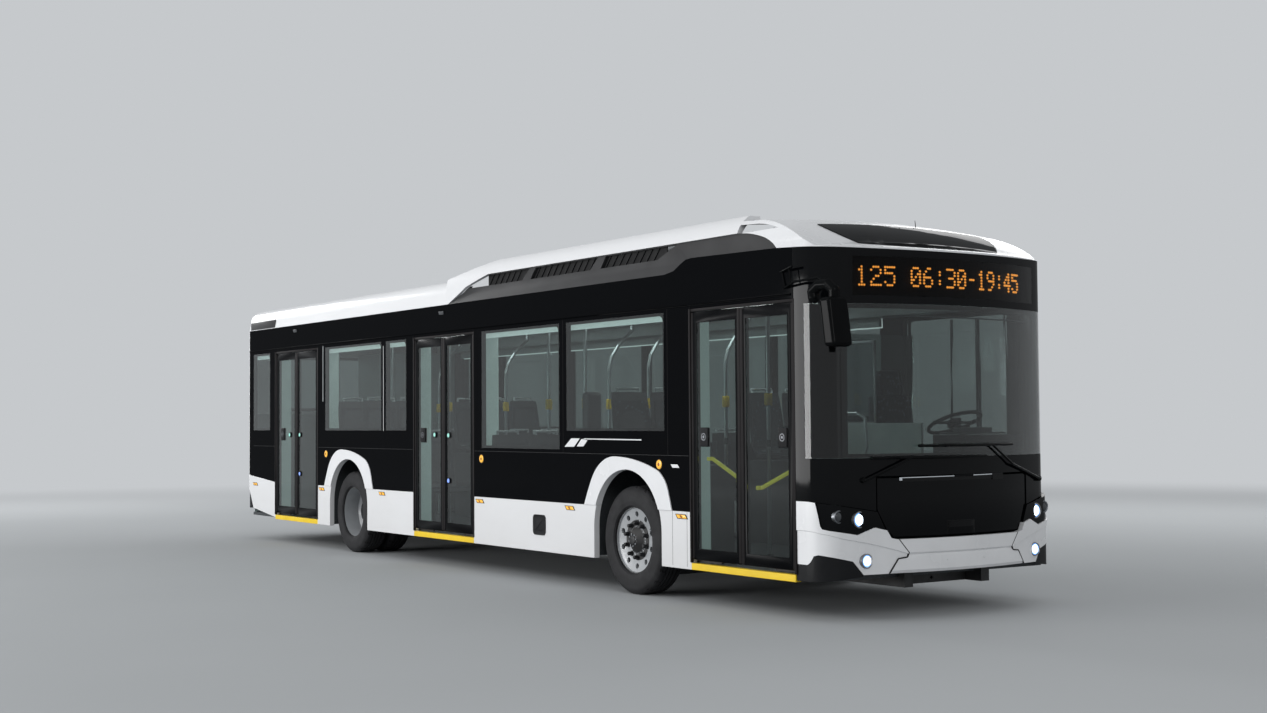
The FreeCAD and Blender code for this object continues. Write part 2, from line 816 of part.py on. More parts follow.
def cap_inset():
    """Dark gloss panel laid on the slope of the front cap, with round sides and a bowed front edge."""
    shell = crowned(slope_line(-inset_proud) + slope_line(-fit_gap)[::-1])
    side = [(cap_slope_foot[0], inset_front_half), inset_bend + ("arc",), (cap_slope_top[0], inset_rear_half)]
    outline = [mirrored_in_plan(point) for point in side[::-1]] + [(inset_nose_x, 0.0, "arc")] + side
    save("cap_inset", shell.common(plan_prism(outline, cap_bottom, high_crest + 2 * inset_proud)))


def roof_units():
    """Battery packs, air conditioning and a hatch cover between the roof edges, with bevelled lids."""
    deck = wall_top + deck_thickness
    units = []
    for x0, x1, half, top in roof_boxes:
        rise = top - roof_box_bevel
        lid = [(-half, deck), (half, deck), (half, rise), (half - roof_box_bevel, top),
               (roof_box_bevel - half, top), (-half, rise)]
        ends = [(x0, deck), (x1, deck), (x1, rise), (x1 - roof_box_bevel, top), (x0 + roof_box_bevel, top),
                (x0, rise)]
        units.append(cross_prism(lid, x0, x1).common(side_prism(ends, -half, half)))
    save("roof_units", group(units))


def front_mask():
    """Dark frame round the windscreen and the display, down to the lamps at its corners."""
    lamp_line = from_side(lamp_upper_edge)
    low = lamp_line[0][1]
    high = cap_side_front[1]
    rear = front_post_x - cut_over
    outer = mask_plan(front_post_x, 0, low, high)
    inner = mask_plan(rear, mask_wall, low - cut_over, high + cut_over)
    corner = from_side(mask_corner) + [(lamp_line[1][0], lamp_line[1][1] + nose_seam),
                                       (half_width + cut_over, corner_top + cut_over)]
    keep = mirrored_outline(corner + [(half_width + cut_over, high)])
    cap_edge = [(bumper_face, cap_line_z(bumper_face)), (rear, cap_line_z(rear))]
    under_cap = side_prism([(rear, 0), (bumper_face, 0)] + cap_edge,
                           -half_width - cut_over, half_width + cut_over)
    mask = outer.cut(inner).common(nose_prism(keep)).common(under_cap)
    screen = box(screen_side_x, bumper_face, -half_width - cut_over, half_width + cut_over, screen_bottom,
                 screen_top)
    display = box(display_rear_x, bumper_face, -display_half_width, display_half_width,
                  display_bottom, display_top)
    save("front_mask", mask.cut(screen).cut(display))


def nose_pane(bottom, top):
    """Curved pane flush with the mask, a fit gap short of its opening above and below."""
    pane = mask_plan(front_post_x, fit_gap, bottom + fit_gap, top - fit_gap)
    return pane.cut(mask_plan(front_post_x - cut_over, fit_gap + screen_glass, bottom, top))


def front_glass():
    screen_ends = box(screen_side_x + fit_gap, bumper_face, -half_width, half_width, screen_bottom, screen_top)
    screen = nose_pane(screen_bottom, screen_top).common(screen_ends)
    edge = display_half_width - fit_gap
    display_ends = box(display_rear_x, bumper_face, -edge, edge, display_bottom, display_top)
    display = nose_pane(display_bottom, display_top).common(display_ends)
    save("front_glass", group([screen, display]))


def hinge_barrel(x, y0, y1, z, toward, strap_bottom):
    """Round barrel along Y with a strap that joins it to the panel below."""
    barrel = rod((x, y0, z), (x, y1, z), hinge_radius)
    strap = box(x, x + toward * hinge_radius, y0, y1, strap_bottom, z)
    return [barrel, strap]


def front_flap():
    """Service flap under the windscreen, with a hinge barrel in the middle of its top edge."""
    top = mask_bottom - flap_top_gap
    edge = from_side(flap_edge)
    outer = mask_plan(front_post_x, flap_recess, edge[0][1], top)
    inner = mask_plan(front_post_x - cut_over, flap_recess + flap_thickness, edge[0][1] - cut_over,
                      top + cut_over)
    flap = outer.cut(inner).common(nose_prism(mirrored_outline(edge)))
    half = flap_hinge_length / 2
    hinge = hinge_barrel(nose_face - flap_recess, -half, half, mask_bottom - flap_recess, -1, top - hinge_strap)
    save("front_flap", fused([flap] + hinge))


def bumper_shell(inset, z0, z1):
    outer = bumper_plan(front_post_x, inset, z0, z1)
    return outer.cut(bumper_plan(front_post_x - cut_over, inset + bumper_thickness, z0 - cut_over,
                                 z1 + cut_over))


def plate_holes(x0, x1, z):
    half = plate_hole_spacing / 2
    return group([rod((x0, y, z), (x1, y, z), plate_hole_radius) for y in (-half, half)])


def bumper_middle():
    """White middle of the bumper, with a crease along it and a lower half that leans back."""
    outline = mirrored_outline(from_side(bumper_seam)[::-1])
    section = [(bumper_face - inset, z) for inset, z in middle_section]
    section += [(bumper_face - bumper_thickness, bumper_bottom), (bumper_face - bumper_thickness, bumper_top)]
    profile = face_in_plane(section, lambda x, z: V(x, 0, z))
    profile.rotate(V(bumper_face - bumper_radius, 0, 0), V(0, 0, 1), -middle_swing)
    shell = profile.revolve(V(bumper_face - bumper_radius, 0, 0), V(0, 0, 1), 2 * middle_swing)
    holes = plate_holes(bumper_face - 3 * bumper_thickness, bumper_face + cut_over, plate_front_z)
    save("bumper_middle", shell.common(nose_prism(outline)).cut(holes))


def bumper_corners():
    """White corner pieces round the headlamps, split from the middle by a zigzag seam, set back under a crease."""
    outline = (moved(from_side(bumper_seam), nose_seam, 0) + from_side(inlet_edge)
               + [(half_width + cut_over, corner_top)] + from_side(lamp_lower_edge))
    low = bumper_bottom - corner_foot_drop
    corner = bumper_shell(0, low, corner_top).common(nose_prism(outline))
    below = from_side(corner_crease) + [(0, low - cut_over), (half_width + cut_over, low - cut_over)]
    skin = bumper_plan(front_post_x - 2 * cut_over, -cut_over, low - cut_over, corner_top)
    skin = skin.cut(bumper_plan(front_post_x - 3 * cut_over, crease_depth, low - 2 * cut_over,
                                corner_top + cut_over))
    save("bumper_corners", group(both_sides(corner.cut(skin.common(nose_prism(below))))))


def bumper_inlets():
    """Dark lower lip under each white corner, set back a little."""
    edge = from_side(inlet_edge)
    outline = edge + [(half_width + cut_over, inlet_bottom), (half_width - 25, inlet_bottom + 8),
                      (edge[0][0], edge[0][1] - 14)]
    inlet = bumper_shell(inlet_recess, inlet_bottom, edge[2][1]).common(nose_prism(outline))
    save("bumper_inlets", group(both_sides(inlet)))


def headlamps():
    """Lamp bodies between the white corners, the mask and the flap."""
    lower = from_side(lamp_lower_edge)[:-1]
    outline = moved(lower, 0, fit_gap) + from_side(lamp_upper_edge)
    outer = bumper_plan(front_post_x, lamp_recess, bumper_top, corner_top)
    inner = bumper_plan(front_post_x - cut_over, lamp_recess + lamp_depth, bumper_top - cut_over,
                        corner_top + cut_over)
    front = box(lamp_rear_x, bumper_face, 0, half_width, bumper_bottom, corner_top)
    return both_sides(outer.cut(inner).common(nose_prism(outline)).common(front))


def rear_lamps():
    y1 = half_width - rear_lamp_inset
    y0 = y1 - rear_lamp_size
    x1 = rear_face + rear_lamp_depth
    blocks = [box(rear_face, x1, y0, y1, z, z + rear_lamp_size) for z in rear_lamp_rows]
    blocks.append(box(rear_face, x1, y0, y1, high_lamp_z, high_lamp_z + high_lamp_height))
    return [copy for block in blocks for copy in both_sides(block)]


def side_windows():
    panes = []
    for side, windows in ((-1, right_windows), (1, left_windows)):
        for rear, front, bottom, top in windows:
            panes.append(box(rear + fit_gap, front - fit_gap, side * (half_width - window_glass),
                             side * half_width, bottom + fit_gap, top - fit_gap))
    panes.append(box(rear_face, rear_face + window_glass, -rear_window_half + fit_gap,
                     rear_window_half - fit_gap,
                     rear_window_bottom + fit_gap, rear_window_top - fit_gap))
    save("side_windows", group(panes))


def rear_wall():
    panel = box(rear_face, wall_rear, -half_width, half_width, rear_wall_bottom, wall_top)
    outer_corners = [edge for edge in panel.Edges
                     if all(abs(vertex.X - rear_face) < cut_over for vertex in edge.Vertexes)
                     and abs(edge.Vertexes[0].Z - edge.Vertexes[1].Z) > cut_over]
    panel = panel.makeFillet(rear_corner_radius, outer_corners)
    x0 = rear_face - cut_over
    x1 = wall_rear + cut_over
    panel = panel.cut(box(x0, x1, -hatch_half_width, hatch_half_width, hatch_bottom, hatch_top))
    panel = panel.cut(box(x0, x1, -rear_window_half, rear_window_half, rear_window_bottom, rear_window_top))
    save("rear_wall", panel.cut(group(rear_lamps())))


def engine_hatch():
    """Lid over the engine, with louvres and two hinge barrels along its top edge."""
    half = hatch_half_width - hatch_gap
    face = rear_face + hatch_recess
    top = hatch_top - 2 * hatch_recess
    lid = box(face, face + hatch_thickness, -half, half, hatch_bottom + hatch_gap, top)
    first = hatch_bottom + 3 * louvre_pitch
    for row in range(louvre_rows):
        z = first + row * louvre_pitch
        slot = box(face - cut_over, face + hatch_thickness + cut_over, -louvre_half, louvre_half, z,
                   z + louvre_height)
        middle = box(face - cut_over, face + hatch_thickness + cut_over, -wall, wall, z, z + louvre_height)
        lid = lid.cut(slot.cut(middle))
    pieces = [lid]
    for y in (-half + hatch_hinge_length / 2, half - 1.5 * hatch_hinge_length):
        pieces += hinge_barrel(face, y, y + hatch_hinge_length, hatch_top - hatch_recess, 1, top - hinge_strap)
    save("engine_hatch", fused(pieces))


def rear_bumper():
    """Dark bumper with a wedge round each rear corner, behind the cut end of the white side panel."""
    half = half_width - rear_bumper_inset
    bumper = box(rear_face, wall_rear, -half, half, rear_bumper_bottom, rear_wall_bottom)
    wedge = [(wall_rear, rear_bumper_bottom + fit_gap), (tail_corner[0] - running_gap, tail_corner[1]),
             (wall_rear, rear_wall_bottom - running_gap)]
    pieces = [bumper] + both_sides(side_prism(wedge, inner_y, half))
    save("rear_bumper", fused(pieces).cut(plate_holes(rear_face - cut_over, wall_rear + cut_over, plate_rear_z)))


def seat_body(rear_x, y0, y1, cushion_bottom, cushion_top, back_top):
    """Cushion and raked back of a double seat, as one piece."""
    cushion = box(rear_x, rear_x + seat_depth, y0, y1, cushion_bottom, cushion_top)
    back = side_prism([(rear_x, cushion_bottom), (rear_x + seat_panel, cushion_bottom),
                       (rear_x - seat_rake, back_top),
                       (rear_x - seat_rake - seat_panel, back_top)], y0, y1)
    return [cushion, back]


def floor_seat(side, rear_x):
    """Double seat on a pedestal that stands on the floor."""
    inside = inner_y - seat_wall_gap - 2 * seat_width
    y0 = side * inside
    y1 = side * (inner_y - seat_wall_gap)
    top = floor_top + seat_height
    pieces = seat_body(rear_x, y0, y1, top - seat_panel, top, floor_top + seat_back_height)
    middle = side * (inside + seat_width)
    half = pedestal_width / 2
    pieces.append(box(rear_x + pedestal_rear, rear_x + pedestal_front, middle - half, middle + half,
                      floor_top, top - seat_panel))
    return fused(pieces)


def box_seat(side, rear_x):
    """Double seat that sits straight on a wheel box."""
    base = box_top + box_wall
    y0 = side * (inner_y - seat_wall_gap - 2 * seat_width)
    y1 = side * (inner_y - seat_wall_gap)
    return fused(seat_body(rear_x, y0, y1, base, base + box_seat_height, base + box_seat_back_height))


def passenger_seats():
    seats = [floor_seat(side, x) for side, x in floor_seats]
    seats += [box_seat(side, x) for side, x in box_seats]
    save("passenger_seats", group(seats))


def grab_poles():
    places = [(x, -pole_y) for x in right_poles] + [(x, pole_y) for x in left_poles]
    save("grab_poles", group([rod((x, y, floor_top), (x, y, ceiling_z), pole_radius) for x, y in places]))


def ceiling_lining():
    """Flat ceiling with a lower duct along each side, cut short beside the engine casing."""
    flat = box(wall_rear, ceiling_front, -inner_y, inner_y, ceiling_z, ceiling_z + ceiling_thickness)
    tower = box(wall_rear, tower_front, tower_y, inner_y, duct_bottom, ceiling_z + ceiling_thickness)
    pieces = [flat.cut(tower)]
    for side, rear in ((-1, wall_rear), (1, tower_front)):
        duct = box(rear, ceiling_front, side * duct_y, side * inner_y, duct_bottom, ceiling_z - fit_gap)
        hollow = box(rear - cut_over, ceiling_front + cut_over, side * (duct_y + duct_wall),
                     side * (inner_y - duct_wall), duct_bottom + duct_wall, ceiling_z)
        pieces.append(duct.cut(hollow))
    save("ceiling_lining", group(pieces))


def engine_tower():
    """Casing over the engine in the rear left corner."""
    outer = box(wall_rear, tower_front, tower_y, inner_y, floor_top, duct_bottom)
    hollow = box(wall_rear - cut_over, tower_front - tower_wall, tower_y + tower_wall, inner_y + cut_over,
                 floor_top - cut_over, duct_bottom - tower_wall)
    save("engine_tower", outer.cut(hollow))


def engine_block():
    save("engine_block", box(wall_rear + engine_gap, engine_front, tower_y + engine_gap, inner_y - engine_gap,
                             floor_top, engine_top))


def driver_partition():
    """Raised floor, partition and half door that close off the driver's place."""
    platform = box(cab_rear_x, platform_front, cab_side_y, inner_y, floor_top, cab_floor)
    back_front = cab_rear_x + cab_back_thickness
    back = box(cab_rear_x, back_front, cab_side_y, inner_y, cab_floor, cab_back_top)
    side = box(back_front, cab_door_front, cab_side_y, cab_side_y + cab_door_thickness, cab_floor, cab_door_top)
    save("driver_partition", fused([platform, back, side]))


def driver_seat():
    x = driver_seat_x
    y0 = driver_y - driver_seat_half
    y1 = driver_y + driver_seat_half
    base = box(x + 60, x + 400, driver_y - driver_base_half, driver_y + driver_base_half,
               cab_floor, driver_cushion_bottom)
    cushion = box(x, x + driver_seat_depth, y0, y1, driver_cushion_bottom, driver_cushion_top)
    foot = driver_cushion_top - 20
    back = side_prism([(x, foot), (x + 120, foot), (x + 10, driver_back_top), (x - 90, driver_back_top)], y0, y1)
    save("driver_seat", fused([base, cushion, back]))


def dashboard():
    """Front wall under the windscreen with the driver's instrument desk on it."""
    front_wall = box(floor_front - front_wall_thickness, floor_front, -inner_y, inner_y, floor_top,
                     front_wall_top)
    body = box(desk_rear_x, floor_front, desk_right_y, desk_left_y, cab_floor, desk_top)
    hood = box(desk_rear_x, floor_front + 60, desk_right_y, desk_left_y, desk_top, desk_top + desk_hood)
    inside = mask_plan(front_post_x - 300, mask_wall + lamp_depth, 0, wall_top)
    return fused([front_wall, body, hood]).common(inside)


def steering_wheel():
    centre = V(*steering_wheel_centre)
    tilt = V(-0.42, 0, 1).normalize()
    across = V(0, steering_wheel_radius - 5, 0)
    ring = Part.makeTorus(steering_wheel_radius, steering_wheel_rod, centre, tilt)
    spoke = rod(tuple(centre - across), tuple(centre + across), steering_spoke_rod)
    hub = Part.makeCylinder(steering_hub_radius, steering_hub_depth, centre - tilt * 30, tilt)
    column = Part.makeCylinder(column_radius, column_length, centre - tilt * 20, V(0.75, 0, -0.66))
    save("steering_wheel", fused([ring, spoke, hub, column]).cut(dashboard()))


def bumper_horns():
    """Cranked stubs on the front cross member that rise behind the bumper's middle and carry it."""
    reach = bumper_plan(rail_front - cross_width - cut_over, bumper_thickness + fit_gap, rail_bottom, bumper_top)
    upright_rear = floor_front + horn_gap
    upright_front = upright_rear + horn_width
    horns = []
    for side in (-1, 1):
        y0 = side * (rail_y - rail_width / 2)
        y1 = side * (rail_y + rail_width / 2)
        foot = box(rail_front - cross_width, upright_front, y0, y1, rail_bottom, floor_bottom)
        upright = box(upright_rear, upright_front, y0, y1, rail_bottom, horn_top)
        arm = box(upright_rear, bumper_face, y0, y1, horn_bottom, horn_top)
        horns.append(fused([foot, upright, arm]).common(reach))
    return horns


def chassis_frame():
    """Two low rails with cross members, towing eye bosses at the ends and four jacking pads."""
    rails = [box(wall_rear, rail_front, side * (rail_y - rail_width / 2), side * (rail_y + rail_width / 2),
                 rail_bottom, floor_bottom) for side in (-1, 1)]
    starts = cross_places + [rail_front - tow_boss_depth, wall_rear]
    crosses = [box(x, x + cross_width, -rail_y, rail_y, rail_bottom, floor_bottom) for x in starts]
    half = jack_pad / 2
    pads = [box(x - half, x + half, side * rail_y - half, side * rail_y + half,
                rail_bottom - jack_pad_depth, rail_bottom)
            for x in jack_places for side in (-1, 1)]
    frame = fused(rails + crosses + bumper_horns() + pads)
    thread_z = (rail_bottom + floor_bottom) / 2
    for x in (rail_front - tow_boss_depth - cut_over, wall_rear - cut_over):
        frame = frame.cut(rod((x, 0, thread_z), (x + tow_boss_depth + 2 * cut_over, 0, thread_z),
                              tow_thread_radius))
    save("chassis_frame", frame)


def front_axle():
    """Beam under the frame with an upright and a kingpin boss at each end."""
    x = front_axle_x
    bottom = rail_bottom - beam_depth
    inside = kingpin_y - 120
    outside = kingpin_y - 50
    pieces = [box(x - beam_half_width, x + beam_half_width, -outside, outside, bottom, rail_bottom)]
    for side in (-1, 1):
        pieces.append(box(x - 45, x + 45, side * inside, side * outside, bottom, axle_z + 50))
        pieces.append(box(x - 35, x + 35, side * inside, side * kingpin_y, axle_z - 50, axle_z + 50))
        pieces.append(rod((x, side * kingpin_y, axle_z - kingpin_boss_half),
                          (x, side * kingpin_y, axle_z + kingpin_boss_half), kingpin_boss_radius))
    axle = fused(pieces)
    for side in (-1, 1):
        axle = axle.cut(rod((x, side * kingpin_y, bottom), (x, side * kingpin_y, axle_z + 2 * kingpin_boss_half),
                            kingpin_radius + fit_gap))
    save("front_axle", axle)


def knuckle(side):
    """Yoke round the axle end, with the kingpin and the stub that carries the wheel."""
    x = front_axle_x
    y = side * kingpin_y
    near = kingpin_boss_half + fit_gap
    far = kingpin_boss_half + yoke_thickness
    web_y = side * (kingpin_y + 46)
    pieces = [box(x - 40, x + 40, web_y, side * (kingpin_y + 66), axle_z - far, axle_z + far)]
    for up in (-1, 1):
        pieces.append(rod((x, y, axle_z + up * near), (x, y, axle_z + up * far), kingpin_boss_radius))
        pieces.append(box(x - 40, x + 40, y, web_y, axle_z + up * near, axle_z + up * far))
    pieces.append(rod((x, y, axle_z - far), (x, y, axle_z + far), kingpin_radius))
    pieces.append(rod((x, side * (kingpin_y + 60), axle_z), (x, side * (wheel_y + 60), axle_z), stub_radius))
    return fused(pieces)


def revolved(points, centre_x, side, centre_y):
    """Turn an outline of (distance outwards, radius) about the wheel's axle."""
    wire = Part.makePolygon([V(centre_x, side * (centre_y + a), axle_z + r) for a, r in points + points[:1]])
    return Part.Face(wire).revolve(V(centre_x, 0, axle_z), V(0, 1, 0), 360)


def tyre(centre_x, side, centre_y):
    """Tyre section: bead, bulging wall, sloped shoulder and flat tread."""
    half = tyre_width / 2
    bulge = tyre_radius - 128
    shoulder = tyre_radius - 12
    wall_top_radius = tyre_radius - 48
    outer = [(half, bulge), (half - 4, wall_top_radius), (half - tyre_shoulder / 2, shoulder),
             (half - tyre_shoulder, tyre_radius)]
    points = [(-half + 30, rim_radius)] + [(-a, r) for a, r in outer] + outer[::-1] + [(half - 30, rim_radius)]
    return revolved(points, centre_x, side, centre_y)


def ring_of_rods(centre_x, side, y0, y1, ring_radius, radius, count):
    rods = []
    for step in range(count):
        angle = math.radians(360.0 / count * (step + 0.5))
        x = centre_x + ring_radius * math.cos(angle)
        z = axle_z + ring_radius * math.sin(angle)
        rods.append(rod((x, side * y0, z), (x, side * y1, z), radius))
    return rods


def front_rim(side):
    """Barrel with a disc close to its outer edge, ten hand holes, a raised hub and ten nuts."""
    half = rim_width / 2
    seat = rim_radius - fit_gap
    bore = stub_radius + cut_over
    inner = seat - rim_wall
    disc = half - 30
    points = [(-half, inner), (-half, seat), (half, seat), (half, inner), (half - 15, inner), (disc, 180),
              (disc, hub_radius), (half + 20, hub_radius - 62), (half + 20, 60), (half - 20, 60),
              (half - 20, bore),
              (-60, bore), (-60, 90), (half - 60, 90), (half - 60, 180), (half - 35, inner)]
    rim = revolved(points, front_axle_x, side, wheel_y)
    holes = ring_of_rods(front_axle_x, side, wheel_y, wheel_y + rim_width, hole_circle, hole_radius, nut_count)
    nuts = ring_of_rods(front_axle_x, side, wheel_y + disc - 10, wheel_y + disc + nut_length,
                        front_nut_circle, nut_radius, nut_count)
    return fused([rim.cut(group(holes))] + nuts)


def rear_rims(side):
    """Two barrels on one hub: the outer wheel is deeply dished, with ten hand holes and ten nuts."""
    half = rim_width / 2
    seat = rim_radius - fit_gap
    inner = seat - rim_wall
    inner_shift = -twin_spacing
    web = inner_shift / 2
    face = web + disc_thickness
    points = [(-half, inner), (-half, seat), (half, seat), (half, inner), (-half + 30, inner), (face, 200),
              (face, hub_radius), (web + 130, hub_radius - 15), (web + 130, 0), (web - disc_thickness, 0),
              (web - disc_thickness, 200), (inner_shift + half - 30, inner), (inner_shift - half, inner),
              (inner_shift - half, seat), (inner_shift + half, seat), (inner_shift + half, inner)]
    rims = revolved(points, rear_axle_x, side, wheel_y)
    holes = ring_of_rods(rear_axle_x, side, wheel_y + inner_shift, wheel_y, hole_circle, hole_radius, nut_count)
    nuts = ring_of_rods(rear_axle_x, side, wheel_y + face - 5, wheel_y + face + nut_length,
                        rear_nut_circle, nut_radius, nut_count)
    return fused([rims.cut(group(holes))] + nuts)


def rear_axle():
    """Dropped centre beam with a wheel-end casing each side."""
    x = rear_axle_x
    bottom = rail_bottom - beam_depth
    case_inner = wheel_y - 593
    case_outer = wheel_y - 493
    stub_end = wheel_y - twin_spacing / 2 - disc_thickness - fit_gap
    pieces = [box(x - rear_beam_half_width, x + rear_beam_half_width, -case_outer, case_outer, bottom,
                  rail_bottom)]
    for side in (-1, 1):
        pieces.append(box(x - 110, x + 110, side * case_inner, side * case_outer, bottom, axle_z + 110))
        pieces.append(rod((x, side * (case_outer - 10), axle_z), (x, side * stub_end, axle_z), 80))
    save("rear_axle", fused(pieces))


def wheels():
    for side, name in ((-1, "right"), (1, "left")):
        save("tyre_front_" + name, tyre(front_axle_x, side, wheel_y))
        save("rim_front_" + name, front_rim(side))
        twins = [tyre(rear_axle_x, side, wheel_y), tyre(rear_axle_x, side, wheel_y - twin_spacing)]
        save("tyres_rear_" + name, group(twins))
        save("rims_rear_" + name, rear_rims(side))
        save("knuckle_" + name, knuckle(side))


def bent_bar(points, radius):
    """Round bar through a row of points, with a ball at each bend and end."""
    bars = [rod(start, end, radius) for start, end in zip(points, points[1:])]
    return bars + [Part.makeSphere(radius, V(*point)) for point in points]


def mirror_housing(x0, y0):
    """Tall rounded housing that leans forwards towards its foot."""
    lean = housing_lean
    outline = [(x0, housing_top), (x0 + housing_depth, housing_top), (x0 + housing_depth + lean, housing_bottom),
               (x0 + lean, housing_bottom)]
    block = side_prism(outline, y0, y0 + housing_width)
    return block.makeFillet(housing_round, block.Edges)


def right_mirror():
    """Ladder bracket of two thin bars from the body side, a fat elbow and the hanging housing."""
    bars = bent_bar(upper_bar, bar_radius) + bent_bar(lower_bar, bar_radius)
    bars += [rod(start, end, strut_radius) for start, end in mirror_struts]
    rear, front = upper_bar[0][0] - wall, upper_bar[-1][0] + wall
    outside = box(rear, front, -half_width, 3 * mirror_y, housing_bottom, wall_top)
    housing = mirror_housing(housing_rear_x, mirror_y - housing_width / 2)
    return fused([fused(bars).common(outside)] + bent_bar(mirror_elbow, elbow_radius) + [housing])


def left_mirror():
    """Mirror beside the driver's window, hung from a short cranked arm."""
    x = left_mirror_x + housing_depth / 2
    y = half_width + left_mirror_reach - housing_width / 2
    foot = rod((x, half_width, left_arm_z), (x, y, left_arm_z), 2 * bar_radius)
    drop = bent_bar([(x, y, left_arm_z), (x, y, housing_top - housing_round)], 2 * bar_radius)
    housing = mirror_housing(left_mirror_x, y - housing_width / 2)
    return fused([foot] + drop + [housing])


def mirrors():
    save("mirrors", group([right_mirror(), left_mirror()]))


def before_glass(y, z):
    return (nose_x(y) + wiper_stand, y, z)


def wiper(pivot, knee, end, blade_ys):
    """Arm from its pivot over a knee up to a level blade that follows the glass."""
    pivot_y, pivot_z = pivot
    outside = mask_plan(front_post_x, -fit_gap, pivot_z - 2 * wiper_boss, pivot_z + 2 * wiper_boss)
    boss = rod((nose_x(pivot_y) - wiper_boss_depth, pivot_y, pivot_z), before_glass(*pivot), wiper_boss)
    arm = bent_bar([before_glass(*pivot), before_glass(*knee)], wiper_arm)
    arm += bent_bar([before_glass(*knee), before_glass(*end)], wiper_rod)
    step = (blade_ys[1] - blade_ys[0]) / blade_runs
    blade = [before_glass(blade_ys[0] + step * i, end[1]) for i in range(blade_runs + 1)]
    return fused([boss.cut(outside)] + arm + bent_bar(blade, wiper_rod))


def wipers():
    save("wipers", group([wiper(*right_wiper), wiper(*left_wiper)]))


def leaf_geometry(jamb_x, seam_x):
    """Post place and link length for one leaf; toward is +1 when the leaf runs forwards from its jamb."""
    toward = 1 if seam_x > jamb_x else -1
    post_x = jamb_x - toward * post_setback
    reach = abs(seam_x - post_x) - leaf_seam / 2
    link = (reach - roller_inset) / 2
    return toward, post_x, link


def door_leaf(name, jamb_x, seam_x):
    """Glazed leaf with hinge lugs at mid width and a guide roller at its leading edge."""
    toward, post_x, link = leaf_geometry(jamb_x, seam_x)
    trailing = jamb_x + toward * leaf_jamb_gap
    leading = seam_x - toward * leaf_seam / 2
    outer_y = -half_width + leaf_recess
    inner_face = outer_y + leaf_thickness
    pivot_y = outer_y + leaf_thickness / 2 + link_offset
    panel = box(trailing, leading, outer_y, inner_face, leaf_bottom, leaf_top)
    x0, x1 = sorted((trailing + toward * leaf_frame, leading - toward * leaf_frame))
    z0 = leaf_bottom + leaf_kick
    z1 = leaf_top - leaf_kick
    panel = panel.cut(box(x0, x1, outer_y - cut_over, inner_face + cut_over, z0, z1))
    glass_y = outer_y + leaf_glass_setback
    glass = box(x0 + fit_gap, x1 - fit_gap, glass_y, glass_y + leaf_glass, z0 + fit_gap, z1 - fit_gap)
    pivot_x = post_x + toward * link
    lug_half = arm_width / 2
    for low, high in ((leaf_bottom, leaf_bottom + lug_thickness), (leaf_top - lug_thickness, leaf_top)):
        lug = box(pivot_x - lug_half, pivot_x + lug_half, inner_face, pivot_y, low, high)
        eye = rod((pivot_x, pivot_y, low), (pivot_x, pivot_y, high), lug_half)
        hole = rod((pivot_x, pivot_y, low - cut_over), (pivot_x, pivot_y, high + cut_over),
                   arm_pin_radius + fit_gap)
        panel = fused([panel, lug, eye]).cut(hole)
    roller_x = post_x + toward * 2 * link
    bracket = box(roller_x - roller_radius, roller_x + roller_radius, inner_face, pivot_y,
                  leaf_top - lug_thickness, leaf_top)
    roller = rod((roller_x, pivot_y, leaf_top - lug_thickness), (roller_x, pivot_y, duct_bottom - running_gap),
                 roller_radius)
    save("door_leaf_" + name, group([fused([panel, bracket, roller]), glass]))


def door_arm(name, jamb_x, seam_x):
    """Upright post with a swing arm under and over the leaf."""
    toward, post_x, link = leaf_geometry(jamb_x, seam_x)
    pivot_y = -half_width + leaf_recess + leaf_thickness / 2 + link_offset
    post = rod((post_x, pivot_y, floor_top + fit_gap), (post_x, pivot_y, duct_bottom - fit_gap), post_radius)
    pieces = [post]
    pivot_x = post_x + toward * link
    half = arm_width / 2
    pin_play = arm_thickness / 9
    lower_low = leaf_bottom - arm_clearance - arm_thickness
    upper_low = leaf_top + arm_clearance
    pins = ((lower_low, lower_low, leaf_bottom + lug_thickness - pin_play),
            (upper_low, leaf_top - lug_thickness + pin_play, upper_low + arm_thickness))
    for low, pin_low, pin_high in pins:
        pieces.append(box(post_x, pivot_x, pivot_y - half, pivot_y + half, low, low + arm_thickness))
        pieces.append(rod((pivot_x, pivot_y, low), (pivot_x, pivot_y, low + arm_thickness), half))
        pieces.append(rod((pivot_x, pivot_y, pin_low), (pivot_x, pivot_y, pin_high), arm_pin_radius))
    save("door_arm_" + name, fused(pieces))


def doors():
    for door, name in ((rear_door, "rear"), (middle_door, "middle"), (front_door, "front")):
        seam = (door[0] + door[1]) / 2
        for jamb, end in ((door[0], "aft"), (door[1], "fore")):
            door_leaf(name + "_" + end, jamb, seam)
            door_arm(name + "_" + end, jamb, seam)


def main():
    os.makedirs("parts", exist_ok=True)
    side_wall_right()
    side_wall_left()
    cantrails()
    skirt_panels()
    arch_trims()
    door_sills()
    floor_deck()
    roof_deck()
    roof_coves()
    roof_fairings()
    front_cap()
    cap_inset()
    roof_units()
    front_mask()
    front_glass()
    front_flap()
    bumper_middle()
    bumper_corners()
    bumper_inlets()
    save("lamps", group(headlamps() + rear_lamps()))
    side_windows()
    rear_wall()
    engine_hatch()
    rear_bumper()
    passenger_seats()
    grab_poles()
    ceiling_lining()
    engine_tower()
    engine_block()
    driver_partition()
    driver_seat()
    save("dashboard", dashboard())
    steering_wheel()
    chassis_frame()
    front_axle()
    rear_axle()
    wheels()
    mirrors()
    wipers()
    doors()


main()
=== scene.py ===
import math

import bmesh
import bpy
from mathutils import Matrix, Vector


